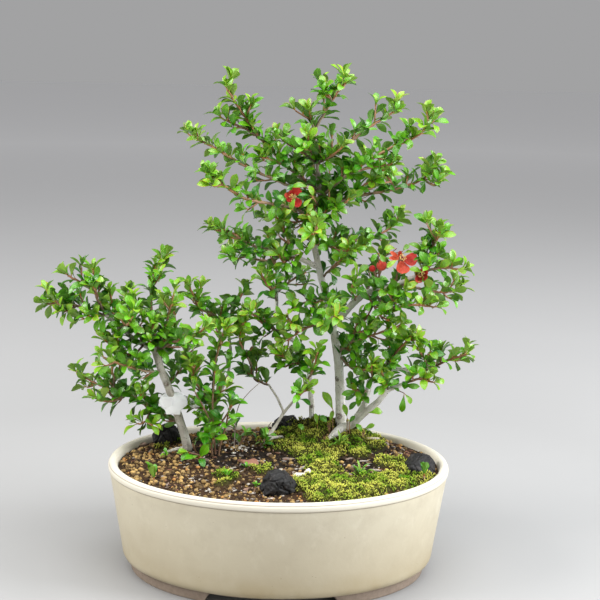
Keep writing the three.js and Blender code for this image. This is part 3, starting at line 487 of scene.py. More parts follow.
def bark_finish(name, shaded, bright):
    """Pale bark, browner high up and dirty at the soil, with dark knots."""
    finish = Finish(name, roughness=0.8, specular=0.3)
    broad = finish.window(finish.grain(38, 4, 0.6), 0.35, 0.65)
    pale = finish.mix(broad, shaded, bright)
    upper = finish.window(finish.height(), 0.22, 0.42)
    colour = finish.coat(pale, srgb(136, 114, 96), upper, 0.8)
    streak = finish.window(finish.grain(380, 4, 0.7, (1, 1, 0.3)), 0.55, 0.76)
    colour = finish.coat(colour, srgb(128, 112, 96), streak, 0.28)
    speck = finish.window(finish.grain(560, 3, 0.6, (1, 1, 1.8)), 0.62, 0.68)
    colour = finish.coat(colour, srgb(72, 60, 48), speck, 0.9)
    lichen = finish.window(finish.grain(60, 5, 0.75), 0.58, 0.68)
    colour = finish.coat(colour, srgb(190, 192, 170), lichen, 0.4)
    damp = finish.window(finish.height(), 0.12, 0.106)
    dirt = finish.product(damp, finish.window(finish.grain(160, 4, 0.7), 0.45, 0.6))
    colour = finish.coat(colour, srgb(66, 58, 38), dirt, 0.8)
    knot, _, _ = finish.layer("knots")
    scar = finish.window(finish.grain(500, 3, 0.7), 0.3, 0.6)
    finish.colour(finish.coat(colour, srgb(92, 70, 54), knot, scar))
    finish.relief(finish.grain(300, 4, 0.65, (1, 1, 0.4)), 0.0011, 0.7)
    finish.relief(finish.grain(1400, 3), 0.0003, 0.5)
    return finish.material


def twig_finish():
    finish = Finish("red_brown_twig", roughness=0.6, specular=0.35)
    young, tone, _ = finish.layer("tone")
    old = finish.mix(tone, srgb(108, 92, 76), srgb(156, 138, 118))
    red = finish.mix(tone, srgb(140, 94, 62), srgb(172, 124, 86))
    colour = finish.mix(young, old, red)
    speck = finish.window(finish.cells(900), 0.16, 0.08)
    finish.colour(finish.mix(speck, colour, srgb(188, 170, 150)))
    finish.relief(finish.grain(900, 3, 0.6, (1, 1, 0.4)), 0.0003, 0.7)
    return finish.material


def leaf_finish():
    finish = Finish("glossy_leaf", specular=0.5)
    youth, tone, under = finish.layer("tone")
    across, along, _ = finish.layer("blade")
    old = finish.mix(tone, srgb(32, 110, 5), srgb(102, 172, 10))
    young = finish.mix(tone, srgb(118, 180, 18), srgb(166, 202, 50))
    colour = finish.mix(youth, old, young)
    mottle = finish.window(finish.grain(260, 3, 0.6), 0.4, 0.7)
    colour = finish.coat(colour, srgb(54, 122, 10), mottle, 0.3)
    rib = finish.window(across, 0.1, 0.02)
    colour = finish.coat(colour, srgb(150, 182, 70), rib, 0.45)
    margin = finish.window(across, 0.78, 0.96)
    edge = finish.product(margin, finish.window(youth, 0.1, 0.7))
    colour = finish.coat(colour, srgb(204, 112, 48), edge, 0.75)
    pale = finish.mix(youth, srgb(104, 148, 58), srgb(168, 194, 84))
    colour = finish.coat(colour, pale, under, 0.75)
    stalk = finish.window(along, 0.22, 0.08)
    finish.colour(finish.coat(colour, srgb(198, 98, 42), stalk, 0.8))
    finish.roughness(finish.combine("ADD", under, finish.grain(300, 2)), 0.2, 0.5)
    finish.relief(slanting_veins(finish, across, along), 0.0002, 0.35)
    finish.set(Subsurface_Weight=0.12, Subsurface_Radius=(0.0009, 0.0016, 0.0003))
    finish.set(Coat_Weight=0.25, Coat_Roughness=0.2)
    return finish.material


def slanting_veins(finish, across, along):
    """Bands that slant from a leaf's midrib towards its tip."""
    veins = finish.node("TexWave", wave_type="BANDS", bands_direction="X")
    veins.inputs["Scale"].default_value = 1.6
    slant = finish.node("CombineXYZ")
    finish.feed(slant.inputs["X"], finish.combine("SUBTRACT", along, finish.product(across, 0.35)))
    finish.feed(veins.inputs["Vector"], slant.outputs[0])
    return veins.outputs["Fac"]


def petal_finish():
    finish = Finish("coral_petal", roughness=0.5, specular=0.3)
    salmon, shade, _ = finish.layer("tone")
    _, share, _ = finish.layer("blade")
    colour = finish.mix(salmon, srgb(190, 24, 20), srgb(240, 116, 78))
    colour = finish.coat(colour, srgb(206, 44, 34), shade, 0.25)
    base = finish.window(share, 0.28, 0.05)
    colour = finish.coat(colour, srgb(236, 150, 110), base, 0.7)
    vein = finish.window(finish.grain(1200, 3, 0.6), 0.45, 0.75)
    finish.colour(finish.coat(colour, srgb(150, 10, 14), vein, 0.3))
    finish.set(Sheen_Weight=0.25, Subsurface_Weight=0.15, Subsurface_Radius=(0.003, 0.0008, 0.0004))
    finish.relief(finish.grain(900, 3), 0.0002, 0.5)
    return finish.material


def stamen_finish():
    finish = Finish("yellow_stamens", roughness=0.6)
    bead, _, _ = finish.layer("tone")
    pollen = finish.mix(finish.grain(2500, 2), srgb(222, 186, 84), srgb(244, 226, 150))
    finish.colour(finish.mix(bead, srgb(240, 176, 150), pollen))
    finish.relief(finish.grain(3000, 2), 0.0001, 0.5)
    return finish.material


def charcoal_finish():
    finish = Finish("charcoal", roughness=0.7, specular=0.5)
    ash = finish.window(finish.grain(180, 4, 0.7), 0.52, 0.78)
    finish.colour(finish.mix(ash, srgb(17, 16, 17), srgb(66, 60, 57)))
    finish.roughness(finish.grain(240, 3), 0.4, 0.95)
    finish.relief(finish.cells(260), 0.0016, 0.6)
    finish.relief(finish.grain(700, 4, 0.7, (1, 1, 0.3)), 0.0008, 0.8)
    return finish.material


def label_finish():
    finish = Finish("white_plastic_label", roughness=0.42, specular=0.5)
    dust = finish.window(finish.grain(120, 4, 0.6), 0.45, 0.8)
    finish.colour(finish.coat(srgb(252, 253, 254), srgb(222, 225, 226), dust, 0.35))
    finish.relief(finish.grain(90, 2), 0.0005, 0.4)
    return finish.material


def dry_leaf_finish():
    finish = Finish("dry_leaf", roughness=0.7, specular=0.3)
    blotch = finish.grain(330, 4, 0.7)
    finish.colour(finish.mix(blotch, srgb(92, 58, 44), srgb(176, 130, 108)))
    finish.relief(blotch, 0.0006, 0.8)
    return finish.material


def mesh_screen_finish():
    finish = Finish("green_mesh", roughness=0.6)
    finish.colour(finish.mix(finish.grain(500, 3), srgb(30, 44, 34), srgb(56, 70, 52)))
    finish.relief(finish.grain(800, 2), 0.0002, 0.4)
    return finish.material


def floor_finish():
    """Pale, and painted lighter far out, where less lamp light falls, so that it meets the sky's grey.
    """
    finish = Finish("pale_floor", roughness=0.85, specular=0.1)
    reach = finish.node("VectorMath", operation="LENGTH")
    finish.feed(reach.inputs[0], finish.place)
    near = finish.mix(finish.grain(3, 3), srgb(160, 160, 160), srgb(165, 165, 165))
    # painted light: the floor lightens with distance from the middle
    far = finish.window(reach.outputs["Value"], 0.6, 5)
    finish.colour(finish.mix(far, near, srgb(253, 253, 254)))
    return finish.material


GLAZE = cream_glaze()
SOIL = soil_finish()
GRAINS = grain_finish()
LITTER = litter_finish()
MOSS = moss_finish()
PALE_BARK = bark_finish("pale_grey_bark", srgb(226, 222, 212), srgb(252, 251, 248))
GREY_BARK = bark_finish("grey_bark", srgb(172, 165, 150), srgb(228, 224, 214))
TWIG = twig_finish()
LEAF = leaf_finish()
PETAL = petal_finish()
STAMEN = stamen_finish()
CHARCOAL = charcoal_finish()
LABEL = label_finish()
DRY_LEAF = dry_leaf_finish()
SCREEN = mesh_screen_finish()


# Making pieces

def into_scene(name, data):
    """A new object of the scene that holds a mesh, a camera or a light."""
    made = bpy.data.objects.new(name, data)
    bpy.context.scene.collection.objects.link(made)
    return made


def as_mesh(shape, name="pattern"):
    """Keeps a shape as a mesh, which can be copied many times."""
    mesh = bpy.data.meshes.new(name)
    shape.to_mesh(mesh)
    shape.free()
    return mesh


def make_piece(name, shape, finishes, stands_for=(), placed=False):
    """Turns a shape in millimetres into a finished piece of the bonsai."""
    if not placed:
        bmesh.ops.transform(shape, matrix=TO_ROW, verts=shape.verts)
    for face in shape.faces:
        face.smooth = True
    piece = into_scene(name, as_mesh(shape, name))
    for finish in finishes:
        piece.data.materials.append(finish)
    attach(piece, "root")
    if stands_for:
        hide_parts(*stands_for)
    return piece


def put(shape, pattern, matrix, material=0):
    """Adds a copy of a pattern to a shape."""
    copy = pattern.copy()
    copy.transform(matrix)
    if material:
        for face in copy.polygons:
            face.material_index = material
    shape.from_mesh(copy)
    bpy.data.meshes.remove(copy)


def paint(shape, name, colour_of):
    """Writes one colour layer: colour_of(vertex, face) gives its three numbers."""
    layer = shape.loops.layers.float_color.get(name) or shape.loops.layers.float_color.new(name)
    for face in shape.faces:
        for loop in face.loops:
            loop[layer] = (*colour_of(loop.vert, face), 1)


def frame_of(along, face, place, size):
    """The matrix of a blade: its length runs along, its upper side looks to face."""
    across = face.cross(along)
    length, width, lift = size
    turned = Matrix((along * length, across * width, face * lift)).transposed().to_4x4()
    turned.translation = place
    return turned


def facing(direction, place, scale=1.0, turn=0.0):
    """The matrix that stands a shape's +Z along a direction."""
    spin = direction.to_track_quat("Z", "Y").to_matrix().to_4x4()
    return Matrix.Translation(place) @ spin @ Matrix.Rotation(turn, 4, "Z") @ Matrix.Scale(scale, 4)


def add_stem(target, points, radii, sides, tone, material=0):
    """Adds a round stem through the points, closed at both ends, to a shape."""
    shape = bmesh.new()
    along = (points[1] - points[0]).normalized()
    bmesh.ops.create_circle(shape, cap_ends=True, radius=radii[0], segments=sides,
                            matrix=facing(along, points[0]))
    edges = list(shape.edges)
    for i in range(1, len(points)):
        after = points[min(i + 1, len(points) - 1)]
        heading = (after - points[i - 1]).normalized()
        made = bmesh.ops.extrude_edge_only(shape, edges=edges)["geom"]
        ring = {part for part in made if isinstance(part, bmesh.types.BMVert)}
        edges = [part for part in made if isinstance(part, bmesh.types.BMEdge)
                 and part.verts[0] in ring and part.verts[1] in ring]
        swing = along.rotation_difference(heading).to_matrix().to_4x4()
        grow = Matrix.Scale(radii[i] / radii[i - 1], 4)
        move = Matrix.Translation(points[i]) @ swing @ grow @ Matrix.Translation(-points[i - 1])
        bmesh.ops.transform(shape, matrix=move, verts=list(ring))
        along = heading
    bmesh.ops.contextual_create(shape, geom=edges)
    bmesh.ops.recalc_face_normals(shape, faces=shape.faces)
    paint(shape, "tone", lambda vert, face: tone(vert.co))
    put(target, as_mesh(shape), Matrix.Identity(4), material)


# The pot

def stretch_oval(shape):
    """A horizontal circle becomes the pot's oval."""
    for vert in shape.verts:
        radius = math.hypot(vert.co.x, vert.co.y)
        if radius > 0:
            stretch = OVAL_STRETCH * min(1, radius / STRETCH_FROM)
            vert.co.x *= 1 + stretch / radius


def spun_oval(profile, steps):
    """An oval vessel from its profile of [half depth, height] points."""
    shape = bmesh.new()
    verts = [shape.verts.new((radius, 0, height)) for radius, height in profile]
    edges = [shape.edges.new(pair) for pair in zip(verts, verts[1:])]
    bmesh.ops.spin(shape, geom=verts + edges, axis=UP, cent=(0, 0, 0), angle=FULL_TURN,
                   steps=steps, use_merge=True)
    bmesh.ops.remove_doubles(shape, verts=shape.verts, dist=0.001)
    bmesh.ops.recalc_face_normals(shape, faces=shape.faces)
    stretch_oval(shape)
    return shape


def cut_away(piece, cutter):
    """Cuts a shape out of a finished piece."""
    tool = into_scene("cutter", as_mesh(cutter))
    cut = piece.modifiers.new("cut", "BOOLEAN")
    cut.object = tool
    cut.operation = "DIFFERENCE"
    cut.solver = "EXACT"
    graph = bpy.context.evaluated_depsgraph_get()
    mesh = bpy.data.meshes.new_from_object(piece.evaluated_get(graph))
    piece.modifiers.clear()
    piece.data = mesh
    bpy.data.objects.remove(tool)


# Painted shade in the grooves round the rim, as dark lines: their height and reach up and down
GROOVES = ((108.8, 0.45), (102.6, 0.6))
GROOVE_DEPTH = 3
# The wall's slight waves: how wide and how high; and the heights between which it has them
POT_WAVES = ((55, 0.5), (21, 0.18))
POT_WAVE_DROP = 0.4
WAVED_HEIGHTS = (1, 110)


def pot_profile():
    """The pot's section from under its floor, round the foot and the rim, and down inside."""
    outside = [(RIM - 13 + 11.8 * i / 12, 22 + 80 * i / 12) for i in range(13)]
    inside = [(RIM - POT_WALL - 0.6 - 14.4 * i / 6, 104 - 87.5 * i / 6) for i in range(7)]
    return [
        (0, 10.5), (40, 10.5), (80, 10.5), (95.2, 10.5), (96.3, 10.2), (96.8, 9.3), (97, 1.4),
        (97.4, 0.5), (98.3, 0), (106.6, 0), (107.6, 0.4), (108, 1.4), (108.2, 4), (108.5, 8),
        (108.9, 9.8), (109.6, 10.5), (112, 11.5), (114.6, 13.6), (116.1, 16.6), (116.7, 19.5),
        *outside, (RIM - 1.3, 102.6), (RIM - 0.5, 103.1), (RIM - 0.1, 103.9), (RIM, 105.5),
        (RIM, 107), (RIM - 0.2, 107.9), (RIM - 0.7, 108.5), (RIM - 1.0, 108.8), (RIM - 0.9, 109.2),
        (RIM - 1.3, 109.9), (RIM - 2.2, 110.5), (RIM - 3.6, 110.9), (RIM - 4.8, 111),
        (RIM - 6.2, 110.7), (RIM - 7.5, 109.9), (RIM - 8.5, 108.5), (RIM - POT_WALL, 106.6),
        *inside, (60, FLOOR_TOP), (0, FLOOR_TOP),
    ]


def groove_shade_at(vert, face):
    """How deep in one of the rim's grooves a point of the outside is, for the painted shade there."""
    depth = math.hypot(vert.co.x / (RIM + OVAL_STRETCH), vert.co.y / RIM) * RIM
    if depth <= RIM - GROOVE_DEPTH:
        return 0, 0, 0
    return max(0, *(1 - abs(vert.co.z - height) / reach for height, reach in GROOVES)), 0, 0


def drain_cutter(x):
    """An upright rod that cuts one drain hole."""
    cutter = bmesh.new()
    bmesh.ops.create_cone(cutter, cap_ends=True, segments=40, radius1=DRAIN_RADIUS,
                          radius2=DRAIN_RADIUS, depth=30)
    bmesh.ops.transform(cutter, matrix=TO_ROW @ Matrix.Translation((x, 0, 12)), verts=cutter.verts)
    return cutter


def make_pot():
    """The pot, with its foot cut away in the middle and two drain holes."""
    shape = spun_oval(pot_profile(), POT_STEPS)
    cut_left, cut_right, cut_top = FOOT_CUT
    for vert in shape.verts:
        place = vert.co.copy()
        if place.z < cut_top and cut_left < place.x < cut_right:
            vert.co.z = cut_top
        if WAVED_HEIGHTS[0] < place.z < WAVED_HEIGHTS[1]:
            away = Vector((place.x, place.y, 0)).normalized()
            vert.co += away * (bumps(place, POT_WAVES) - POT_WAVE_DROP)
    bmesh.ops.remove_doubles(shape, verts=shape.verts, dist=0.001)
    paint(shape, "painted_groove_shade", groove_shade_at)
    piece = make_piece("pot_finished", shape, [GLAZE], ["pot"])
    for x in (-DRAIN_SPACING / 2, DRAIN_SPACING / 2):
        cut_away(piece, drain_cutter(x))


# The soil, its grains and moss

def soil_tree():
    """The CAD soil's surface, for finding its height."""
    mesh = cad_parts["soil"].data
    verts = [FROM_ROW @ vert.co for vert in mesh.vertices]
    return BVHTree.FromPolygons(verts, [tuple(face.vertices) for face in mesh.polygons])


SOIL_TREE = soil_tree()
SOIL_SAMPLES = ((0, 0), (7, 0), (-7, 0), (0, 7), (0, -7))


def ground(x, y):
    """The height of the soil, smoothed over a few millimetres."""
    heights = []
    for right, back in SOIL_SAMPLES:
        found = SOIL_TREE.ray_cast(Vector((x + right, y + back, 200)), -UP)[0]
        if found is not None and found.z > SOIL_LEVEL - 3:
            heights.append(found.z)
    return sum(heights) / len(heights) if heights else SOIL_LEVEL


def inset(x, y):
    """How far a point is inside the pot's inner edge."""
    depth = RIM - POT_WALL
    return depth * (1 - math.hypot(x / (depth + OVAL_STRETCH), y / depth))


# Patches of moss and of dark humus: [x, y, reach]
MOSS_PATCHES = ((8, 60, 27), (34, 56, 30), (54, 44, 20), (20, 98, 28), (52, 98, 30), (88, 80, 26),
                (92, 54, 21), (84, 28, 13), (40, 4, 20), (46, -22, 18), (112, 0, 17), (130, -14, 21),
                (36, -64, 27), (62, -68, 28), (90, -62, 27), (116, -52, 27), (138, -34, 20),
                (48, -90, 24), (78, -92, 24), (-50, -45, 13), (-15, -25, 12), (-10, 58, 20),
                (-110, 60, 10), (-121, 36, 8), (-52, -66, 9), (3, 43, 18), (24, 34, 23), (47, 29, 21),
                (36, 12, 15))
HUMUS_PATCHES = ((78, -4, 30), (14, 10, 28), (104, 44, 20), (66, 26, 20), (-30, 10, 30), (-58, -4, 24),
                 (0, -60, 22), (-70, 22, 24), (-92, 50, 18))
# Bare places over the surface roots
ROOT_GAPS = ((66, 70, 9), (58, 59, 9), (51, 52, 9), (44, 45, 6), (-8, 50, 5), (2, 60, 5), (10, 66, 4))
# How high the moss's cushions stand, and how wide the soil runs out flat to the pot's wall
MOSS_DEPTH = 7
SOIL_EDGE = 12
SOIL_STEPS = 180


def nearest_of(x, y, patches):
    """How far a point is from the nearest patch: 1 at its reach, less inside."""
    return min(math.hypot(x - px, y - py) / reach for px, py, reach in patches)


def cover(x, y, patches):
    """How much of the soil a kind of patch covers at a point, from 0 to 1."""
    ragged = 0.28 * ripple(x, y, 4, 13) + 0.16 * ripple(x, y, 9, 5)
    return 1 - fade(nearest_of(x, y, patches) + ragged, 0.78, 1.0)


def cushion(x, y):
    """Moss grows in cushions: 0 in the creases between them, about 1 on top."""
    broad = abs(ripple(x, y, 0, 15)) * 2.4
    small = abs(ripple(x, y, 30, 7)) * 2.2
    return min(1, 0.7 * math.sqrt(broad) + 0.3 * math.sqrt(small))


def moss_cover(x, y):
    """How much of a point the moss covers; it stays off the roots."""
    return cover(x, y, MOSS_PATCHES) * fade(nearest_of(x, y, ROOT_GAPS), 0.6, 1.0)


def surface(x, y):
    """The height of the finished surface: soil, and moss on it."""
    rough = ripple(x, y, 7, 6) * 0.7 + ripple(x, y, 1, 2.3) * 0.4
    moss = moss_cover(x, y) * MOSS_DEPTH * cushion(x, y)
    edge = fade(inset(x, y), 0, SOIL_EDGE)
    return ground(x, y) - 0.4 + edge * (rough + moss)


def soil_cover(vert, face):
    x, y, _ = vert.co
    return moss_cover(x, y), cover(x, y, HUMUS_PATCHES), 0


def make_soil():
    """The bed of soil, in rings that lie closer at the pot's wall."""
    inner = RIM - POT_WALL - 0.6
    rings = [inner - 1.2 * i for i in range(1, 5)] + [inner - 6 - 2.0 * i for i in range(0, 57)]
    profile = [(0, FLOOR_TOP + 0.5), (inner - 16, FLOOR_TOP + 0.5), (inner - 1.5, SOIL_LEVEL - 3)]
    profile += [(radius, SOIL_LEVEL) for radius in rings] + [(0, SOIL_LEVEL)]
    shape = spun_oval(profile, SOIL_STEPS)
    for vert in shape.verts:
        if vert.co.z > SOIL_LEVEL - 1:
            vert.co.z = surface(vert.co.x, vert.co.y)
    paint(shape, "cover", soil_cover)
    make_piece("soil_bed", shape, [SOIL], ["soil"])


def pebble(seed, tone, subdivisions=1):
    """A rough little stone, 1 across."""
    shape = bmesh.new()
    bmesh.ops.create_icosphere(shape, subdivisions=subdivisions, radius=0.5)
    for i, vert in enumerate(shape.verts):
        vert.co *= 0.78 + 0.44 * chance(seed, i, 3)
    paint(shape, "tone", lambda vert, face: tone)
    return as_mesh(shape)


def random_spot(draw):
    """A point on the soil, evenly spread over the oval."""
    depth = RIM - POT_WALL - 2
    while True:
        x = draw.uniform(-1, 1) * (depth + OVAL_STRETCH)
        y = draw.uniform(-1, 1) * depth
        if inset(x, y) > 2.5:
            return x, y


def tumble(draw):
    return Matrix.Rotation(draw.uniform(0, FULL_TURN), 4, "Z") @ Matrix.Rotation(
        draw.uniform(0, FULL_TURN), 4, "X")


GRAIN_TRIES = 6800
GRAIN_TONES = 16
LARGE_GRAIN_SHARE = 0.36
LARGE_GRAIN = (2.6, 5.8)
SMALL_GRAIN = (1.1, 2.6)
# Towards the middle of the pot, from one x to another, more of the grains are dark
DARKER_FROM, DARKER_TO = -120, -40
DARK_SHARE = 0.45
DARK_LEFT_OUT = 0.4


def make_grains():
    """Baked-clay grains where no moss covers them, and darker crumbs in the humus."""
    draw = random.Random(7)
    patterns = []
    for i in range(GRAIN_TONES):
        tone = (i / (GRAIN_TONES - 1), draw.random() * i / 12, draw.random() * i / 12)
        patterns.append(pebble(i, tone))
    shape = bmesh.new()
    for _ in range(GRAIN_TRIES):
        x, y = random_spot(draw)
        size = draw.uniform(*(LARGE_GRAIN if draw.random() < LARGE_GRAIN_SHARE else SMALL_GRAIN))
        hidden = moss_cover(x, y) > 0.35
        middle = fade(x, DARKER_FROM, DARKER_TO)
        dark = cover(x, y, HUMUS_PATCHES) > 0.5 or draw.random() < DARK_SHARE * middle
        if hidden or (dark and draw.random() < DARK_LEFT_OUT):
            continue
        tone = pick(draw.random() ** (3.2 if dark else 1.5), GRAIN_TONES)
        squash = Matrix.Diagonal((size, size * draw.uniform(0.7, 1), size * draw.uniform(0.6, 0.9), 1))
        place = Matrix.Translation((x, y, surface(x, y) + size * draw.uniform(-0.1, 0.3)))
        put(shape, patterns[tone], place @ tumble(draw) @ squash)
    make_piece("soil_grains", shape, [GRAINS])


# Bark chips and stones: place, length, width, thickness, heading in degrees, how light, how red
CHIPS = (
    ((-143, 54), 12, 8, 2.6, 40, 0.5, 0.8), ((111, 67), 9, 8, 2, 20, 0.3, 0.3),
    ((97, 59), 15, 4, 3, 5, 0.75, 0.4), ((72, 15), 10, 5, 2, 20, 0.3, 0.3),
    ((96, -18), 12, 3.5, 2.4, -12, 0.45, 0.2), ((86, 8), 14, 2, 2, 8, 0.6, 0.2),
    ((21, -44), 14, 7, 8, 15, 1.0, 0.0), ((29, -38), 8, 6, 7, 70, 0.95, 0.0),
    ((24, -15), 14, 4, 3, 55, 0.45, 0.0), ((-27, -77), 12, 6, 2, 15, 0.4, 0.9),
    ((104, 20), 8, 5, 2, -30, 0.35, 0.5), ((60, -4), 8, 3, 2, 35, 0.2, 0.2),
    ((8, 10), 9, 5, 2, -20, 0.25, 0.3), ((-10, 20), 8, 4, 2, 60, 0.3, 0.5),
    ((-72, 2), 10, 5, 2, -35, 0.2, 0.2), ((-95, 22), 9, 3, 3, 25, 0.4, 0.3),
)
CHIP_ROLL = 0.2
SMALL_CHIPS = 800
SMALL_CHIP_TONES = 10
SMALL_CHIP_LENGTH = (2.5, 8)
# White grit is heaped round one spot: its middle and its spread along x and y
WHITE_GRIT = 44
GRIT_X, GRIT_Y = (-41, 7), (40, 10)
GRIT_SIZE = (1.6, 4.6)
# A dead stalk among the shoots, and two straws
STALKS = (
    ((-47, 40, 104), (-44, 39, 148), (-34, 38, 166), (-21, 38, 179)),
    ((-22, 56, 106), (-14, 52, 124), (-9, 50, 134)),
    ((-18, 54, 106), (-12, 50, 116), (-4, 48, 124)),
)
STALK_STEPS = 12
STRAW_TONE = (0.55, 0.3, 0)


def lay_chip(shape, pattern, x, y, size, heading, roll):
    """Lays a flattened stone on the soil."""
    place = Matrix.Translation((x, y, surface(x, y) + size[2] * 0.35))
    turn = Matrix.Rotation(heading, 4, "Z") @ Matrix.Rotation(roll, 4, "X")
    put(shape, pattern, place @ turn @ Matrix.Diagonal((*size, 1)))


def add_small_chips(shape, draw):
    """Small scraps of bark, few at the left end and none in the moss."""
    patterns = [pebble(i, (0.1 + 0.07 * i, draw.random() ** 2, 0)) for i in range(SMALL_CHIP_TONES)]
    for _ in range(SMALL_CHIPS):
        x, y = random_spot(draw)
        if moss_cover(x, y) > 0.5 or draw.random() > 0.25 + fade(x, -130, -30):
            continue
        length = draw.uniform(*SMALL_CHIP_LENGTH)
        size = (length, length * draw.uniform(0.25, 0.6), draw.uniform(0.7, 1.6))
        chip = patterns[int((SMALL_CHIP_TONES - 0.01) * draw.random() ** 1.6)]
        lay_chip(shape, chip, x, y, size, draw.uniform(0, 6), draw.uniform(-0.6, 0.6))


def add_white_grit(shape, draw):
    white = pebble(5, (1, 0, 0))
    for _ in range(WHITE_GRIT):
        x, y = draw.gauss(*GRIT_X), draw.gauss(*GRIT_Y)
        size = draw.uniform(*GRIT_SIZE)
        lay_chip(shape, white, x, y, (size, size * 0.8, size * 0.7), draw.uniform(0, 6), 0.4)


def make_litter():
    """Bark chips, white grit and dead stalks on the soil."""
    draw = random.Random(23)
    shape = bmesh.new()
    for i, ((x, y), length, width, thickness, heading, light, red) in enumerate(CHIPS):
        chip = pebble(i, (light, red, 0), 2)
        lay_chip(shape, chip, x, y, (length, width, thickness), math.radians(heading), CHIP_ROLL)
    add_small_chips(shape, draw)
    add_white_grit(shape, draw)
    for route in STALKS:
        middle = smooth_route(route, STALK_STEPS)
        radii = [0.6 - 0.02 * i for i in range(STALK_STEPS + 1)]
        add_stem(shape, middle, radii, 5, lambda place: STRAW_TONE)
    make_piece("soil_litter", shape, [LITTER])


MOSS_TRIES = 34000
MOSS_PAINTED_SHADE_STEPS = 4
MOSS_YELLOWS = 4
MOSS_LENGTH = (1.4, 3.4)
# Moss behind the trunks, from one y to another, is painted darker as shade
SHADE_FROM, SHADE_TO = 62, 84
SHADE_DEPTH = 0.45


def moss_tuft(light, yellow):
    """One moss shoot: a slim three-sided spike, lighter at its tip."""
    shape = bmesh.new()
    bmesh.ops.create_cone(shape, cap_ends=True, segments=3, radius1=0.5, radius2=0.42, depth=1)
    bmesh.ops.translate(shape, verts=shape.verts, vec=(0, 0, 0.5))
    paint(shape, "tone", lambda vert, face: (light, vert.co.z, yellow))
    return as_mesh(shape)


def make_moss():
    """Moss shoots: painted light on top of the cushions and painted shade in their creases and behind
    the trunks, yellower in patches.
    """
    draw = random.Random(11)
    patterns = [[moss_tuft(i / (MOSS_PAINTED_SHADE_STEPS - 1), j / (MOSS_YELLOWS - 1)) for j in range(MOSS_YELLOWS)]
                for i in range(MOSS_PAINTED_SHADE_STEPS)]
    shape = bmesh.new()
    for _ in range(MOSS_TRIES):
        x, y = random_spot(draw)
        if moss_cover(x, y) < 0.3:
            continue
        along = Vector((draw.uniform(-1, 1), draw.uniform(-1, 1), draw.uniform(0.7, 1.8))).normalized()
        length = draw.uniform(*MOSS_LENGTH)
        # painted shade behind the trunks and in the cushions' creases, painted light on the cushions'
        # tops
        shade = SHADE_DEPTH * fade(y, SHADE_FROM, SHADE_TO)
        light = pick(1.7 * cushion(x, y) - 0.56 - shade + 0.45 * draw.random(), MOSS_PAINTED_SHADE_STEPS)
        patch = ripple(x, y, 20, 17) + 0.5 * ripple(x, y, 40, 6)
        yellow = pick(0.6 + 0.9 * patch + 0.25 * (draw.random() - 0.5), MOSS_YELLOWS)
        place = Vector((x, y, surface(x, y) - 0.5))
        scale = Matrix.Diagonal((1, 1, length, 1))
        put(shape, patterns[light][yellow], facing(along, place, 1, draw.uniform(0, 3)) @ scale)
    make_piece("moss", shape, [MOSS])


# The wood

def rounded(name, voxel, rounds):
    """A finer, rounder copy of a solid, in the row's own metres."""
    shape = bmesh.new()
    shape.from_mesh(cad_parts[name].data)
    bmesh.ops.remove_doubles(shape, verts=shape.verts, dist=1e-6)
    rough = into_scene("rough", as_mesh(shape))
    remesh = rough.modifiers.new("round", "REMESH")
    remesh.mode = "VOXEL"
    remesh.voxel_size = voxel
    graph = bpy.context.evaluated_depsgraph_get()
    fine = bpy.data.meshes.new_from_object(rough.evaluated_get(graph))
    bpy.data.objects.remove(rough)
    shape = bmesh.new()
    shape.from_mesh(fine)
    for _ in range(rounds):
        bmesh.ops.smooth_vert(shape, verts=shape.verts, factor=0.5, use_axis_x=True,
                              use_axis_y=True, use_axis_z=True)
    shape.normal_update()
    return shape


WOODS = {"main_trunk": PALE_BARK, "second_trunk": PALE_BARK, "thin_stem": GREY_BARK,
         "left_trunk": GREY_BARK, "middle_stem": GREY_BARK}
# How fine the rounded solids are, in metres, and how often the wood is smoothed
FINE_STEP = 0.0007
WOOD_ROUNDS = 3
# Bumps of the bark: how wide across the wood, how long up it and how high
BARK_BUMPS = ((9, 16, 0.35), (2.2, 7, 0.22), (1.1, 2.5, 0.1))
BARK_GROWTH = 0.15
# Knots on the wood, where twigs were cut off: their middle and their reach
KNOTS = ((Vector((57.5, 72, 175)), 4.6), (Vector((61.5, 72, 135)), 5.4), (Vector((52, 69, 258)), 4.4),
         (Vector((-115, 26, 179)), 3.8), (Vector((33, 91.5, 140)), 3.4), (Vector((-13, 41, 124)), 3))
KNOT_HEIGHT = 1.1


def knot_at(place):
    """How far a point is inside a knot: 0 outside, 1 in its middle."""
    return max(1 - (place - middle).length / reach for middle, reach in KNOTS)


def make_wood(name, bark):
    """A trunk: its solid rounded where its stems meet, and roughened as bark."""
    shape = rounded(name, FINE_STEP, WOOD_ROUNDS)
    for vert in shape.verts:
        x, y, z = vert.co * 1000
        rough = sum(height * noise.noise(Vector((x / width, y / width, z / length)))
                    for width, length, height in BARK_BUMPS)
        knot = KNOT_HEIGHT * fade(knot_at(FROM_ROW @ vert.co), 0, 0.5)
        vert.co += vert.normal * (rough + BARK_GROWTH + knot) / 1000
    paint(shape, "knots", lambda vert, face: (fade(knot_at(FROM_ROW @ vert.co), 0.1, 0.5), 0, 0))
    make_piece(f"{name}_bark", shape, [bark], [name], placed=True)


# Twigs and leaves, at the same places as the solids' ones

def route_point(route, share):
    """A point on the smooth curve through the route; share runs from 0 to 1."""
    place = (len(route) - 1) * share
    start = min(int(place), len(route) - 2)
    part = place - start
    here, after = route[start], route[start + 1]
    before = route[start - 1] if start > 0 else 2 * here - after
    beyond = route[start + 2] if start + 2 < len(route) else 2 * after - here
    leave, arrive = (after - before) / 2, (beyond - here) / 2
    cube = 2 * here - 2 * after + leave + arrive
    square = 3 * after - 3 * here - 2 * leave - arrive
    return cube * part ** 3 + square * part ** 2 + leave * part + here


def route_tangent(route, share):
    low, high = max(0, share - 0.0001), min(1, share + 0.0001)
    return (route_point(route, high) - route_point(route, low)).normalized()


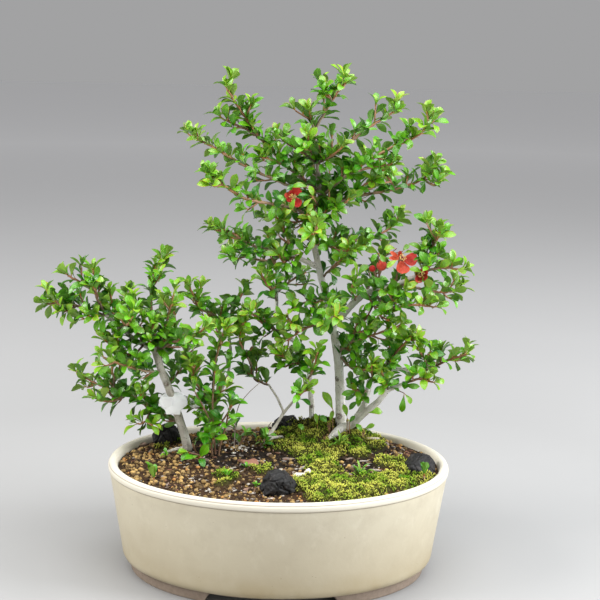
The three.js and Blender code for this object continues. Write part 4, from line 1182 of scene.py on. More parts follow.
def vectors(route):
    return [Vector(point) for point in route]


def smooth_route(route, steps):
    """Points at even steps of the smooth curve through the route."""
    points = vectors(route)
    return [route_point(points, i / steps) for i in range(steps + 1)]


def route_length(route):
    points = smooth_route(route, 200)
    return sum((b - a).length for a, b in zip(points, points[1:]))


def lean(axis, tilt, angle):
    """A direction that leans from axis by tilt, turned round it by angle."""
    reference = Vector((1, 0, 0)) if abs(axis.z) > 0.9 else UP
    side = axis.cross(reference).normalized()
    over = axis.cross(side)
    sideways = side * math.cos(angle) + over * math.sin(angle)
    return (axis * math.cos(tilt) + sideways * math.sin(tilt)).normalized()


def outward(tangent, station, spray):
    """The direction that leaves the twig at a station."""
    level = Vector((1, 0, 0)) if abs(tangent.z) > 0.95 else UP
    side = tangent.cross(level).normalized()
    over = side.cross(tangent)
    angle = station * GOLDEN_ANGLE + spray
    return side * math.cos(angle) + over * math.sin(angle)


def blend(radial, tangent, share, lift):
    """A direction that leaves the twig, bent along it by share and up by lift."""
    return (radial + tangent * share + UP * lift).normalized()


# Half the width of a blade along its length, both as shares
LEAF_OUTLINE = ((0, 0.035), (0.12, 0.05), (0.2, 0.1), (0.34, 0.23), (0.5, 0.38), (0.68, 0.5),
                (0.82, 0.47), (0.92, 0.35), (0.97, 0.22), (1, 0.07))
LEAF_GRID = (8, 2)
LEAF_THICKNESS = 0.03
# Ways a leaf bends: how far it bows, how far its edges lift, and how they wave
LEAF_FORMS = ((0.34, 0.3, 0.0), (0.48, 0.2, 0.04), (0.2, 0.4, -0.03), (0.4, 0.12, 0.05))
LEAF_LIFT = 0.55
# Ages of leaves: how young, and how light a green
LEAF_AGES = ((0.0, 0.1), (0.0, 0.5), (0.0, 0.9), (0.35, 0.3), (0.4, 0.8), (0.75, 0.6), (1.0, 0.4))


def blade(outline, grid, thickness, arch, fold, wave, tone):
    """A leaf or petal of length and width 1: two skins that meet at the rim, fuller inside.

    arch bows it along its length, fold lifts its edges and wave ruffles them.
    """
    shape = bmesh.new()
    for under in (False, True):
        made = bmesh.ops.create_grid(shape, x_segments=grid[0], y_segments=grid[1], size=0.5)["verts"]
        if under:
            faces = {face for vert in made for face in vert.link_faces}
            bmesh.ops.reverse_faces(shape, faces=list(faces))
    shape.normal_update()
    paint(shape, "blade", lambda vert, face: (abs(2 * vert.co.y), vert.co.x + 0.5, 0))
    paint(shape, "tone", lambda vert, face: (*tone, 1 if face.normal.z < 0 else 0))
    rim = [vert for vert in shape.verts if vert.is_boundary]
    for vert in shape.verts:
        share, side = vert.co.x + 0.5, 2 * vert.co.y
        spread = side * steps_through(outline, share)
        fullness = (1 - side * side) * (1 - (2 * share - 1) ** 6)
        height = arch * share * (1 - 1.45 * share) + fold * abs(spread)
        height += wave * math.sin(7 * share + 2.5 * side) * side * side
        skin = -0.5 if vert.normal.z < 0 else 0.5
        vert.co = (share, spread, height + thickness * fullness * skin)
    bmesh.ops.remove_doubles(shape, verts=rim, dist=1e-4)
    for edge in shape.edges:
        edge.smooth = edge.calc_face_angle(0) < 1.6
    return as_mesh(shape)


def leaf_patterns():
    """One leaf for each age and form."""
    return [blade(LEAF_OUTLINE, LEAF_GRID, LEAF_THICKNESS, arch, fold * LEAF_LIFT, wave, age)
            for age in LEAF_AGES for arch, fold, wave in LEAF_FORMS]


LEAVES = leaf_patterns()


def hides_wood(place):
    """Whether a leaf at a place would cover a bare part of the wood, seen from the front."""
    eye = Vector(CAMERA_PLACE)
    for depth, low, high, low_x, high_x in BARE_WOOD:
        seen = eye + (place - eye) * (depth - eye.y) / (place.y - eye.y)
        wood_x = between((low_x, high_x), (seen.z - low) / (high - low))
        if place.y < depth - 2 and low < seen.z < high and abs(seen.x - wood_x) < BARE_REACH:
            return True
    return False


def add_leaf(shape, place, along, face, length, width, age, form):
    """Puts one leaf on a twig, unless it would reach out of the bonsai's box."""
    tip = TO_ROW @ (place + along * (length * 1.02))
    low, high = CAD_BOX
    for axis in range(3):
        if tip[axis] < low[axis] + LEAF_CLEARANCE or tip[axis] > high[axis] - LEAF_CLEARANCE:
            return
    leaf = LEAVES[age * len(LEAF_FORMS) + form]
    put(shape, leaf, frame_of(along, face, place, (length, width, length)), 1)


def leaf_age(base, luck):
    """Which age a leaf has: base is 0 for old wood and 1 for a tip."""
    return pick(base * 0.72 + luck * 0.42, len(LEAF_AGES))


def add_rosette(shape, place, axis, count, spray, station, tilts=ROSETTE_TILTS, size=1.0, youth=0.5):
    """A whorl of leaves round the end of a twig, or on its side."""
    for i in range(count):
        turn = i / count * FULL_TURN + 0.9 * chance(spray, station, i) + station
        along = lean(axis, between(tilts, chance(spray, station, i + 20)), turn)
        along = (along + UP * 0.2).normalized()
        inward = axis * 0.9 + UP * 0.45
        face = (inward - along * inward.dot(along)).normalized()
        face.rotate(Quaternion(along, (chance(spray, station, i + 30) - 0.5) * LEAF_TWIST))
        length = between(LEAF_LENGTH, chance(spray, station, i + 40)) * size
        width = length * between(LEAF_WIDTH_SHARE, chance(spray, station, i + 60))
        age = leaf_age(youth, chance(spray, station, i + 90))
        form = int(chance(spray, station, i + 70) * len(LEAF_FORMS))
        if not hides_wood(place + along * (length * 0.6)):
            add_leaf(shape, place, along, face, length, width, age, form)


# How far the younger leaves inside a tip's whorl lean out
CLOSED_TILTS = (0.15, 0.5)
SIDE_TWIG_RADII = (1.0, 0.9, 0.8)
# The reach from which a side twig has leaves half way along, too
LEAFY_REACH = 8


def add_tip(shape, place, axis, spray, station, youth):
    """The end of a twig: an open whorl round one or two younger leaves."""
    add_rosette(shape, place, axis, 3, spray, station, ROSETTE_TILTS, 0.95, youth)
    inner = place + axis * 1.6
    number = 1 + int(2 * chance(spray, station, 9))
    add_rosette(shape, inner, axis, number, spray, station + 0.5, CLOSED_TILTS, 0.75, youth + 0.15)


def add_side_twig(shape, route, share, station, spray, reach, youth):
    """A short side twig with leaves at its end and half way along."""
    start, tangent = route_point(route, share), route_tangent(route, share)
    direction = blend(outward(tangent, station, spray), tangent, 0.6, 0.35)
    tip = start + direction * reach
    middle = start + direction * (reach * 0.5)
    tone = (0.75, chance(spray, station, 5), 0)
    add_stem(shape, [start, middle + UP * (-0.4), tip], SIDE_TWIG_RADII, 5, lambda place: tone)
    add_tip(shape, tip, blend(direction, tangent, 0, 0.5), spray, station, youth)
    side = lean(direction, 1.2, station * 1.9 + spray)
    if reach > LEAFY_REACH:
        add_rosette(shape, middle, blend(side, direction, 0.6, 0.2), 2, spray, station + 0.3,
                    (0.3, 0.7), 0.95, youth - 0.2)


def twig_tone(route, luck):
    """Grey-brown at the wood, redder towards the tip."""
    base, reach = route[0], (route[-1] - route[0]).length

    def tone(place):
        return fade((place - base).length / reach, 0.1, 0.9), luck, 0

    return tone


# How far a twig swells at its leaves, as a share of its radius, and how far it is crooked
TWIG_SWELL = 0.14
TWIG_CROOK = 0.35
# The rosettes of one station: how far past it they stand, and the fewest leaves they have
STATION_ROSETTES = ((0, 3), (0.5, 0))
STATION_TILTS = (0.4, 0.95)


def add_twig_stem(shape, spray, radius, route, count):
    """The twig itself, a little crooked and swollen where leaves stand."""
    steps = max(6, round(route_length(route) / 4))
    points, radii = [], []
    for i in range(steps + 1):
        share = i / steps
        swell = 1 + TWIG_SWELL * math.sin(share * count * FULL_TURN)
        crook = TWIG_CROOK if i else 0
        points.append(route_point(route, share)
                      + lean(route_tangent(route, share), math.pi / 2, i * GOLDEN_ANGLE) * crook)
        radii.append(between((radius, TWIG_TIP_RADIUS), share) * swell)
    add_stem(shape, points, radii, 7, twig_tone(route, chance(spray, 1, 1)))


def add_station(shape, spray, route, station, count):
    """What grows at one place of a twig: perhaps a side twig, and two rosettes."""
    share = (station + 0.7) / count
    youth = fade(share, 0.25, 1.0) * 0.5
    luck = chance(spray, station, 33)
    slimmer = 1 - 0.45 * fade(share, 0.5, 1.0)
    if station % SOLID_SIDE_TWIG_EVERY == 1:
        reach = between(SIDE_TWIG_REACH, chance(spray, station, 80)) * slimmer
        add_side_twig(shape, route, share, station, spray, reach, youth + 0.15)
    elif luck < EXTRA_SIDE_TWIGS and share < 0.85:
        reach = between(EXTRA_TWIG_REACH, luck / EXTRA_SIDE_TWIGS) * slimmer
        add_side_twig(shape, route, share, station, spray, reach, youth)
    tangent = route_tangent(route, share)
    for past, fewest in STATION_ROSETTES:
        away = outward(tangent, station + past, spray + 1.3)
        place = route_point(route, min(1, (station + 0.2 + past) / count))
        number = fewest + int(2 * chance(spray, station + past, 7))
        if station + past < count - 0.6:
            add_rosette(shape, place, blend(away, tangent, 0.8, 0.45), number, spray,
                        station + past + 0.1, STATION_TILTS, 1.0, youth)


def add_twig(shape, spray, radius, route):
    """One twig with everything that grows on it."""
    count = max(3, round(route_length(route) / STATION_SPACING))
    add_twig_stem(shape, spray, radius, route, count)
    for station in range(count):
        add_station(shape, spray, route, station, count)
    tip_axis = (route_tangent(route, 1) + UP * 0.4).normalized()
    add_tip(shape, route[-1], tip_axis, spray, TIP_STATION, 0.45)


def make_sprays():
    """Every leafy twig, with the twigs of one fork in one piece."""
    for name in dict.fromkeys(row[0] for row in SPRAYS):
        shape = bmesh.new()
        for spray, (own_name, radius, *points) in enumerate(SPRAYS):
            if own_name == name:
                add_twig(shape, spray, radius, vectors(points))
        make_piece(f"leaves_{name}", shape, [TWIG, LEAF], [f"spray_{name}"])


def make_filling():
    """The crown's thinner twigs, which have no solids of their own."""
    seed = FILLING_SEED
    for name, routes in FILLING.items():
        shape = bmesh.new()
        for route in routes:
            add_twig(shape, seed, FILLING_RADIUS, vectors(route))
            seed += 1
        make_piece(f"leaves_inside_{name}", shape, [TWIG, LEAF])


# Young shoots out of the soil: the stem's route, the length of its leaves and how far they lean out
SHOOTS = {
    "shoot_front_left": (((-62, 18, 94), (-60, 16, 116), (-54, 12, 140), (-50, 8, 160)), 20, (0.5, 1.0)),
    "shoot_left": (((-116, -60, 94), (-117, -59, 102), (-118, -58, 107)), 20, (0.1, 0.45)),
    "shoot_right": (((142, -43, 94), (142, -43, 103), (142, -41, 110)), 17, (0.2, 0.6)),
}
SHOOT_RADIUS = 1.1
SHOOT_TONE = (0.4, 0.3, 0)
# The clump of shoots at the foot of the middle stem, and single small ones: route, leaf length
CLUMP = (
    (((-64, 24, 98), (-66, 14, 130), (-67, 10, 165), (-65, 8, 196)), 16),
    (((-66, 22, 98), (-68, 12, 116), (-66, 4, 128)), 20),
    (((-72, 24, 98), (-75, 14, 118), (-72, 8, 138)), 21),
    (((-78, 30, 98), (-84, 22, 108), (-87, 14, 120)), 15),
    (((-70, 26, 98), (-80, 14, 108), (-89, 4, 114)), 17),
    (((-72, 20, 98), (-76, 8, 107), (-79, -4, 112)), 20),
    (((-66, 13, 138), (-74, 9, 156), (-84, 6, 176)), 17),
    (((-66, 13, 134), (-56, 9, 148), (-48, 6, 162)), 18),
    (((-50, 44, 98), (-42, 42, 110), (-36, 40, 120)), 16),
    (((-30, 50, 98), (-26, 50, 108), (-20, 48, 116)), 15),
    (((-38, 58, 98), (-40, 58, 112), (-46, 56, 122)), 16),
    (((-24, 42, 98), (-20, 38, 110), (-15, 34, 120)), 15),
    (((-10, 44, 98), (-12, 42, 106), (-14, 38, 112)), 13),
    (((-102, 20, 98), (-106, 12, 106), (-112, 6, 110)), 10),
    (((-115, 69, 98), (-114, 67, 108), (-112, 64, 113)), 9),
    (((-47, -60, 98), (-47, -59, 106), (-48, -57, 111)), 10),
    (((-21, -86, 98), (-21, -85, 106), (-20, -84, 110)), 8),
    (((-33, -22, 98), (-33, -22, 105), (-32, -23, 108)), 8),
    (((118, -48, 98), (118, -48, 106), (119, -49, 109)), 7),
)
CLUMP_SEED = 200

# Single leaves on thin stalks, in groups: the stalk's foot, the leaf's base and tip, its width, its age
LONE_LEAVES = {
    "upper_flower": (
        ((12, 50, 362), (12, 28, 371), (7, 26, 359), 6, 4),
        ((-4, 53, 352), (2, 26, 365), (-5, 24, 373), 6, 1),
        ((36, 70, 366), (27, 28, 372), (15, 24, 374), 5, 0),
        ((36, 70, 368), (25, 30, 381), (9, 26, 383), 7, 3),
        ((34, 68, 372), (14, 30, 383), (3, 28, 379), 5, 0),
        ((36, 70, 358), (29, 28, 371), (26, 24, 382), 6, 4),
        ((36, 70, 356), (29, 26, 371), (20, 22, 363), 5, 4),
        ((12, 54, 352), (9, 26, 359), (2, 24, 355), 6, 5),
        ((36, 70, 346), (23, 26, 354), (28, 24, 365), 6, 4),
    ),
    "right_flowers": (
        ((116, 38, 302), (114, 20, 312), (103, 14, 306), 6, 5),
        ((97, 44, 288), (95, 28, 317), (88, 24, 310), 6, 2),
        ((97, 44, 288), (95, 28, 317), (101, 24, 309), 6, 3),
        ((135, 28, 292), (139, 16, 300), (126, 14, 305), 7, 4),
        ((134, 30, 288), (138, 16, 292), (124, 14, 286), 8, 5),
        ((102, 70, 305), (113, 32, 321), (101, 30, 322), 7, 5),
        ((139, 28, 300), (136, 26, 312), (135, 24, 322), 7, 1),
        ((145, 27, 310), (143, 20, 309), (134, 18, 313), 5, 4),
        ((104, 76, 308), (119, 34, 318), (125, 32, 325), 6, 3),
        ((104, 76, 308), (120, 34, 316), (128, 32, 319), 4, 6),
    ),
    "trunk_foot": (
        ((55, 64, 104), (55, 62, 144), (45, 60, 164), 9, 4),
        ((52, 64, 104), (50, 62, 130), (42, 62, 138), 7, 1),
        ((52, 64, 104), (52, 62, 131), (55, 62, 144), 5, 4),
        ((70, 64, 104), (70, 60, 137), (66, 60, 151), 6, 4),
        ((74, 60, 104), (72, 58, 132), (77, 56, 140), 5, 1),
        ((80, 64, 134), (88, 55, 144), (105, 53, 148), 9, 4),
        ((86, 58, 104), (88, 56, 126), (98, 54, 132), 6, 4),
        ((86, 58, 104), (86, 56, 122), (80, 54, 132), 5, 2),
        ((40, 64, 104), (39, 62, 127), (37, 62, 140), 5, 4),
        ((28, 66, 104), (26, 64, 120), (20, 62, 128), 6, 2),
        ((88, 62, 158), (80, 54, 164), (67, 50, 160), 6, 1),
        ((88, 62, 160), (80, 54, 168), (69, 50, 175), 6, 2),
        ((88, 62, 162), (81, 52, 170), (74, 46, 183), 6, 0),
        ((88, 62, 156), (82, 54, 158), (71, 50, 150), 6, 1),
        ((89, 62, 162), (84, 54, 166), (80, 48, 153), 5, 3),
        ((116, 38, 177), (126, 34, 172), (124, 32, 152), 7, 2),
        ((116, 38, 177), (126, 34, 172), (134, 32, 162), 6, 4),
    ),
}


LONE_STALK_RADII = (0.6, 0.5, 0.45)
LONE_STALK_TONE = (0.7, 0.4, 0)


def grow_shoot(shape, route, leaf_length, seed, tilts=ROSETTE_TILTS):
    """One shoot: its stem, leaves up its sides and a tuft at its end."""
    points = vectors(route)
    size = leaf_length / LEAF_LENGTH[1]
    steps = max(4, round(route_length(route) / 5))
    middle = smooth_route(route, steps)
    radii = [between((SHOOT_RADIUS, TWIG_TIP_RADIUS), i / steps) for i in range(steps + 1)]
    add_stem(shape, middle, radii, 7, lambda place: SHOOT_TONE)
    axis = (points[-1] - points[-2]).normalized()
    add_rosette(shape, points[-1], axis, 4, seed, 0, tilts, size, 0.1)
    add_rosette(shape, points[-1] + axis * 1.5, axis, 1, seed, 0.6, (0.1, 0.4), size * 0.8, 0.4)
    for i in range(1, steps, 2):
        if middle[i].z > SOIL_LEVEL + 6:
            side = blend(outward(axis, i, seed), axis, 0.5, 0.3)
            add_rosette(shape, middle[i], side, 2, seed, i, (0.3, 0.8), size * 0.95, 0)


def make_shoots():
    """The shoots that have solids of their own."""
    for seed, (name, (route, leaf_length, tilts)) in enumerate(SHOOTS.items()):
        shape = bmesh.new()
        grow_shoot(shape, route, leaf_length, seed, tilts)
        make_piece(f"leaves_{name}", shape, [TWIG, LEAF], [name])


def make_clump():
    shape = bmesh.new()
    for i, (route, leaf_length) in enumerate(CLUMP):
        grow_shoot(shape, route, leaf_length, CLUMP_SEED + i)
    make_piece("leaves_low_clump", shape, [TWIG, LEAF])


def make_lone_leaves():
    """Leaves in front of the flowers and round the trunk's foot."""
    toward = Vector((0, -0.7, 0.7))
    for name, rows in LONE_LEAVES.items():
        shape = bmesh.new()
        for i, (*route, width, age) in enumerate(rows):
            foot, base, tip = vectors(route)
            stalk = [foot, foot.lerp(base, 0.55) + Vector((0, 0, -0.6)), base]
            add_stem(shape, stalk, LONE_STALK_RADII, 5, lambda place: LONE_STALK_TONE)
            along = (tip - base).normalized()
            face = (toward - along * toward.dot(along)).normalized()
            add_leaf(shape, base, along, face, (tip - base).length, width, age, i % len(LEAF_FORMS))
        make_piece(f"leaves_at_{name}", shape, [TWIG, LEAF])


# Two tufts of fine grass in the moss
GRASS = ((62, 38), (80, -38))
GRASS_BLADES = 18
GRASS_TILTS = (0.15, 1.15)
GRASS_LENGTH = (8, 17)
GRASS_WIDTH = 2.2


def make_grass():
    shape = bmesh.new()
    for tuft, (x, y) in enumerate(GRASS):
        for i in range(GRASS_BLADES):
            along = lean(UP, between(GRASS_TILTS, chance(tuft, i, 1)), i * GOLDEN_ANGLE)
            face = (UP - along * along.z).normalized()
            length = between(GRASS_LENGTH, chance(tuft, i, 2))
            place = Vector((x, y, surface(x, y) - 0.5)) + Vector((along.x, along.y, 0)) * 2
            add_leaf(shape, place, along, face, length, GRASS_WIDTH, 2 + i % 3, i % len(LEAF_FORMS))
    make_piece("grass_tufts", shape, [TWIG, LEAF])


# Flowers and buds

PETAL_OUTLINE = ((0, 0.08), (0.12, 0.1), (0.26, 0.27), (0.45, 0.43), (0.66, 0.5), (0.82, 0.46),
                 (0.93, 0.32), (1, 0.14))
PETAL_GRID = (10, 8)
PETAL_THICKNESS = 0.03
# The open flowers: the stalk's route, then each petal's angle round the flower (0 to the right,
# 90 up) and its tilt out of the middle in degrees, its length, its width and how salmon it is
FLOWERS = {
    "flower_right": (((114, 37, 286), (115, 39, 300), (117, 35, 309), (118, 28, 312)), (
        (155, 80, 14, 4.5, 1.0), (182, 84, 13.5, 4.5, 0.95), (272, 82, 17, 14, 0.5),
        (-10, 76, 16, 14, 0.1), (118, 60, 9, 5, 0.5))),
    "flower_side": (((133, 30, 294), (135, 26, 297), (136, 21, 298)), (
        (30, 50, 10, 8, 0.1), (95, 44, 9, 8, 0.2), (170, 50, 10, 8, 0.3),
        (245, 62, 12, 8, 0.15), (-50, 56, 10, 8, 0.1))),
    "flower_upper": (((12, 56, 353), (12, 52, 364), (11, 45, 369), (10, 38, 370)), (
        (62, 70, 12, 11, 0.1), (-52, 74, 13, 9, 0.05), (215, 66, 9, 6, 0.1),
        (172, 60, 11, 6, 0.4), (120, 56, 9, 6, 0.05))),
}
# How a petal bows and how far its edges lift
PETAL_BOW = -0.42
PETAL_LIFT = 0.16
# Stalks that widen into a cup: radius by share of the length, under a flower and under a bud
FLOWER_STALK = ((0, 1.2), (0.6, 1.2), (0.8, 2.2), (1, 2.6))
BUD_STALK = ((0, 1.2), (0.7, 1.1), (0.82, 2.2), (0.92, 2.8), (1, 2.6))
FLOWER_STALK_TONE = (0.35, 0.6, 0)
FLOWER_STALK_STEPS = 8
STAMENS = 24
STAMEN_SPREAD = 0.62
STAMEN_LENGTH = (4.5, 7)
# Two closed buds on a forked stalk: radius, route and how dark they are
BUDS = (
    (5.6, ((97, 45, 278), (97, 42, 290), (99, 36, 303)), 0.35),
    (3.6, ((97, 43, 286), (93, 42, 293), (90, 40, 299)), 0.0),
)
BUD_PETALS = 5
BUD_CORE = 0.93


def add_stalk(shape, route, radii, material):
    """The stalk of a flower or bud, with its cup."""
    steps = FLOWER_STALK_STEPS
    widths = [steps_through(radii, i / steps) for i in range(steps + 1)]
    add_stem(shape, smooth_route(route, steps), widths, 8, lambda place: FLOWER_STALK_TONE, material)


def stamen_parts():
    """A thread and the little bead on its end."""
    thread = bmesh.new()
    bmesh.ops.create_cone(thread, cap_ends=True, segments=4, radius1=0.2, radius2=0.15, depth=1)
    bmesh.ops.translate(thread, verts=thread.verts, vec=(0, 0, 0.5))
    paint(thread, "tone", lambda vert, face: (0, 0, 0))
    bead = bmesh.new()
    bmesh.ops.create_icosphere(bead, subdivisions=2, radius=0.55)
    bmesh.ops.scale(bead, verts=bead.verts, vec=(0.8, 0.8, 1.15))
    paint(bead, "tone", lambda vert, face: (1, 0, 0))
    return as_mesh(thread), as_mesh(bead)


def add_petals(shape, centre, axis, petals, seed):
    right = UP.cross(axis).normalized()
    up = axis.cross(right)
    for i, (angle, tilt, length, width, salmon) in enumerate(petals):
        turn, opening = math.radians(angle), math.radians(tilt)
        around = right * math.cos(turn) + up * math.sin(turn)
        along = axis * math.cos(opening) + around * math.sin(opening)
        face = (axis - along * axis.dot(along)).normalized()
        petal = blade(PETAL_OUTLINE, PETAL_GRID, PETAL_THICKNESS, PETAL_BOW, PETAL_LIFT,
                      0.05 + 0.05 * chance(seed, i, 1), (salmon, chance(seed, i, 2)))
        put(shape, petal, frame_of(along, face, centre - axis * 0.8, (length, width, length)))


def add_stamens(shape, centre, axis, seed):
    thread, bead = stamen_parts()
    for i in range(STAMENS):
        direction = lean(axis, STAMEN_SPREAD * math.sqrt(chance(seed, i, 3)), i * GOLDEN_ANGLE)
        reach = between(STAMEN_LENGTH, chance(seed, i, 4))
        start = centre + direction * 0.5
        put(shape, thread, facing(direction, start) @ Matrix.Diagonal((1, 1, reach, 1)), 1)
        put(shape, bead, facing(direction, start + direction * reach), 1)


def make_flowers():
    """The open flowers, each on its stalk."""
    for seed, (name, (route, petals)) in enumerate(FLOWERS.items()):
        shape = bmesh.new()
        centre = Vector(route[-1])
        axis = (centre - Vector(route[-2])).normalized()
        add_petals(shape, centre, axis, petals, seed)
        add_stamens(shape, centre, axis, seed)
        add_stalk(shape, route, FLOWER_STALK, 2)
        make_piece(f"{name}_petals", shape, [PETAL, STAMEN, TWIG], [name])


def bud_petal(radius, turn, dark):
    """One petal wrapped round a bud from its stalk to its tip, over its neighbour's edge."""
    petal = blade(PETAL_OUTLINE, PETAL_GRID, 0.05, 0, 0, 0, (dark, turn / FULL_TURN))
    for vert in petal.vertices:
        share, spread, lift = vert.co
        down = 0.25 + 2.6 * share
        around = turn - 2.5 * spread
        reach = radius * (BUD_CORE + 0.1 * (spread + 0.5) * (1 - 0.4 * share) + lift)
        wide = reach * math.sin(down)
        vert.co = (wide * math.cos(around), wide * math.sin(around), -reach * math.cos(down))
    return petal


def make_buds():
    """The closed buds: a round core with its petals wrapped round it."""
    shape = bmesh.new()
    for radius, route, dark in BUDS:
        centre = Vector(route[-1])
        stand = facing((centre - Vector(route[-2])).normalized(), centre, 0.96)
        core = bmesh.new()
        bmesh.ops.create_icosphere(core, subdivisions=3, radius=radius * BUD_CORE)
        paint(core, "tone", lambda vert, face: (dark * 0.5, 0, 0))
        put(shape, as_mesh(core), stand)
        for i in range(BUD_PETALS):
            put(shape, bud_petal(radius, i / BUD_PETALS * FULL_TURN, dark), stand)
        add_stalk(shape, route, BUD_STALK, 1)
    make_piece("bud_petals", shape, [PETAL, TWIG], ["flower_buds"])


# Charcoal, the plant label and the dry leaf

# Charcoal cracks into blocks: their size, and how wide and deep a crack is
CHARCOAL_BLOCK = 13
CRACK_WIDTH = 0.09
CRACK_DEPTH = 2.0
# Where the cracks run: another seed gives other cracks of the same kind
CRACK_SEED = 1795622413
CHARCOAL_BUMPS = ((3, 0.5), (1.2, 0.3))
# How much each lump grows past its rounded solid, along each axis
CHARCOAL_GROWTH = {
    "charcoal_front": (1.14, 1.1, 1.2), "charcoal_right": (1.5, 1.3, 1.3),
    "charcoal_left_back": (1.04, 1.04, 1.04), "charcoal_back": (1.04, 1.04, 1.04),
}


def make_charcoal(name):
    """A lump of charcoal, cracked into blocks."""
    noise.seed_set(CRACK_SEED)
    shape = rounded(name, FINE_STEP, 1)
    low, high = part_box(name)
    middle = (low + high) / 2
    growth = Matrix.Diagonal((*CHARCOAL_GROWTH[name], 1))
    bmesh.ops.transform(shape, matrix=Matrix.Translation(middle) @ growth @ Matrix.Translation(-middle),
                        verts=shape.verts)
    for vert in shape.verts:
        place = vert.co * 1000
        bent = place / CHARCOAL_BLOCK + noise.noise_vector(place / 20) * 0.3
        near = noise.voronoi(bent)[0]
        crack = 1 - fade(near[1] - near[0], 0.0, CRACK_WIDTH)
        vert.co += vert.normal * (bumps(place, CHARCOAL_BUMPS) - CRACK_DEPTH * crack) / 1000
    make_piece(f"{name}_lump", shape, [CHARCOAL], [name], placed=True)


LABEL_PLACE = Vector((-108, 30, 160))
LABEL_LOOP = ((0, -8), (-9, -7), (-13, 0), (-9, 8), (0, 10), (10, 5), (20, -2), (35, -4))
LABEL_STEPS = (44, 6)
LABEL_STRIP_WIDTH = 13
LABEL_THICKNESS = 0.8
# The plate: width and height, its grid, and how it bows, lifts its edges and waves
LABEL_PLATE = (29, 23)
LABEL_GRID = (18, 14)
LABEL_BEND = (0.22, -0.12, 0.015)
LABEL_LEAN = 0.3
# Half the plate's width from its lower end to its domed top
LABEL_OUTLINE = ((0, 0.24), (0.14, 0.26), (0.3, 0.36), (0.42, 0.49), (0.6, 0.5), (0.78, 0.44),
                 (0.9, 0.32), (0.97, 0.19), (1, 0.1))


def label_strip():
    """The label's strip along its loop, narrower and lower towards its end."""
    route = [LABEL_PLACE + Vector((right, back, 0)) for right, back in LABEL_LOOP]
    strip = bmesh.new()
    bmesh.ops.create_grid(strip, x_segments=LABEL_STEPS[0], y_segments=LABEL_STEPS[1], size=0.5)
    for vert in strip.verts:
        share, side = vert.co.x + 0.5, vert.co.y
        taper = 1 - 0.75 * fade(share, 0.8, 1.0) - 0.15 * fade(share, 0.4, 0.6)
        droop = 2.5 * fade(share, 0.6, 1.0)
        vert.co = route_point(route, share) + UP * (side * LABEL_STRIP_WIDTH * taper - droop)
    bmesh.ops.recalc_face_normals(strip, faces=strip.faces)
    bmesh.ops.solidify(strip, geom=strip.faces, thickness=LABEL_THICKNESS)
    bmesh.ops.recalc_face_normals(strip, faces=strip.faces)
    return as_mesh(strip)


def make_label():
    """A blank white label whose strip is looped round the left trunk."""
    shape = bmesh.new()
    width, height = LABEL_PLATE
    plate = blade(LABEL_OUTLINE, LABEL_GRID, 0.05, *LABEL_BEND, (0, 0))
    right, back = LABEL_LOOP[0]
    foot = LABEL_PLACE + Vector((right, back - 1, -height / 2))
    along = Vector((0, LABEL_LEAN, 1)).normalized()
    face = Vector((0, -1, LABEL_LEAN)).normalized()
    put(shape, plate, frame_of(along, face, foot, (height, width, height)))
    put(shape, label_strip(), Matrix.Identity(4))
    make_piece("label_strip", shape, [LABEL], ["plant_label"])


DRY_LEAF_PLACE = (-41, -1)
DRY_LEAF_HEIGHT = 2.2
DRY_LEAF_HEADING = Vector((0.8, -0.58, 0.1)).normalized()
DRY_LEAF_SIZE = (25, 12, 25)
DRY_LEAF_GRID = (16, 10)
DRY_LEAF_BEND = (0.3, -0.08, 0.07)


def make_dry_leaf():
    shape = bmesh.new()
    x, y = DRY_LEAF_PLACE
    toward = Vector((0, -0.5, 1))
    face = (toward - DRY_LEAF_HEADING * DRY_LEAF_HEADING.dot(toward)).normalized()
    leaf = blade(LEAF_OUTLINE, DRY_LEAF_GRID, LEAF_THICKNESS, *DRY_LEAF_BEND, (0, 0))
    place = Vector((x, y, ground(x, y) + DRY_LEAF_HEIGHT))
    put(shape, leaf, frame_of(DRY_LEAF_HEADING, face, place, DRY_LEAF_SIZE))
    make_piece("dry_leaf", shape, [DRY_LEAF], ["fallen_leaf"])


def finish_screens():
    for side in ("left", "right"):
        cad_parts[f"drain_screen_{side}"].material_slots[0].material = SCREEN


# The camera, the lights and the floor

MIDDLE = (0, 0, 0.25)
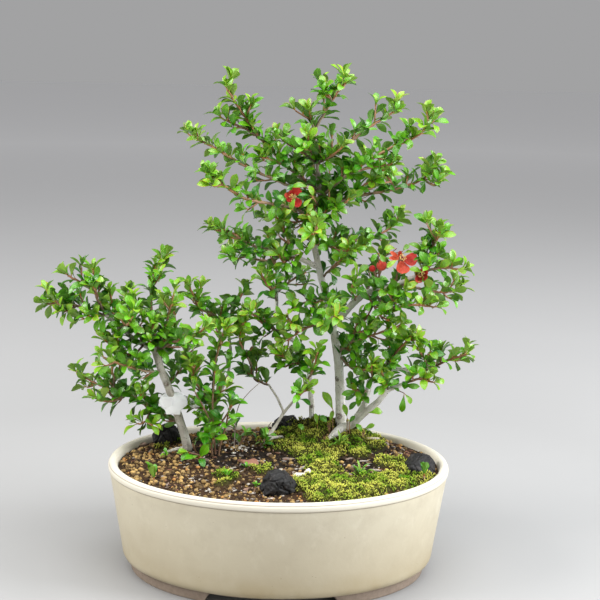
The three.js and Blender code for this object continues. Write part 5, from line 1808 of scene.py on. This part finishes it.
# Lights, in metres: place, what they point at, size, power and colour
LIGHTS = {
    "right": ((1.75, -0.36, 1.1), MIDDLE, 1.0, 48, (0.95, 0.975, 1.0)),
    "left": ((-1.6, -0.5, 1.2), MIDDLE, 0.8, 32, (1.0, 0.985, 0.95)),
    "top": ((0.1, -0.2, 2.0), MIDDLE, 1.8, 46, (1, 1, 1)),
    "front": ((1.2, -1.3, 0.3), (0.08, 0.06, 0.2), 0.4, 5, (1.0, 0.99, 0.97)),
}
WORLD_COLOUR = (0.86, 0.86, 0.87, 1)
WORLD_STRENGTH = 0.42
FLOOR_SIZE = 12


def make_camera():
    data = bpy.data.cameras.new("camera")
    data.lens = CAMERA_LENS
    data.sensor_width = 36
    data.clip_start = 0.05
    camera = into_scene("camera", data)
    pitch = Matrix.Rotation(math.radians(90 - CAMERA_PITCH), 4, "X")
    roll = Matrix.Rotation(math.radians(CAMERA_ROLL), 4, "Z")
    camera.matrix_world = Matrix.Translation(TO_ROW @ Vector(CAMERA_PLACE)) @ pitch @ roll
    bpy.context.scene.camera = camera


def make_light(name, place, target, size, power, colour):
    data = bpy.data.lights.new(name, "AREA")
    data.size = size
    data.energy = power
    data.color = colour
    light = into_scene(name, data)
    light.location = place
    light.rotation_euler = (Vector(target) - Vector(place)).to_track_quat("-Z", "Y").to_euler()


def make_world():
    """The even light all round."""
    world = bpy.data.worlds.new("studio")
    world.use_nodes = True
    background = world.node_tree.nodes["Background"]
    background.inputs["Color"].default_value = WORLD_COLOUR
    background.inputs["Strength"].default_value = WORLD_STRENGTH
    bpy.context.scene.world = world
    bpy.context.scene.view_settings.view_transform = "Standard"


def make_floor():
    shape = bmesh.new()
    bmesh.ops.create_grid(shape, x_segments=2, y_segments=2, size=FLOOR_SIZE)
    floor = into_scene("floor", as_mesh(shape))
    floor.data.materials.append(floor_finish())


make_camera()
for light_name, light in LIGHTS.items():
    make_light(light_name, *light)
make_world()
make_floor()
make_pot()
make_soil()
make_grains()
make_litter()
make_moss()
for wood, wood_bark in WOODS.items():
    make_wood(wood, wood_bark)
make_sprays()
make_filling()
make_shoots()
make_clump()
make_lone_leaves()
make_grass()
make_flowers()
make_buds()
for lump in CHARCOAL_GROWTH:
    make_charcoal(lump)
make_label()
make_dry_leaf()
finish_screens()
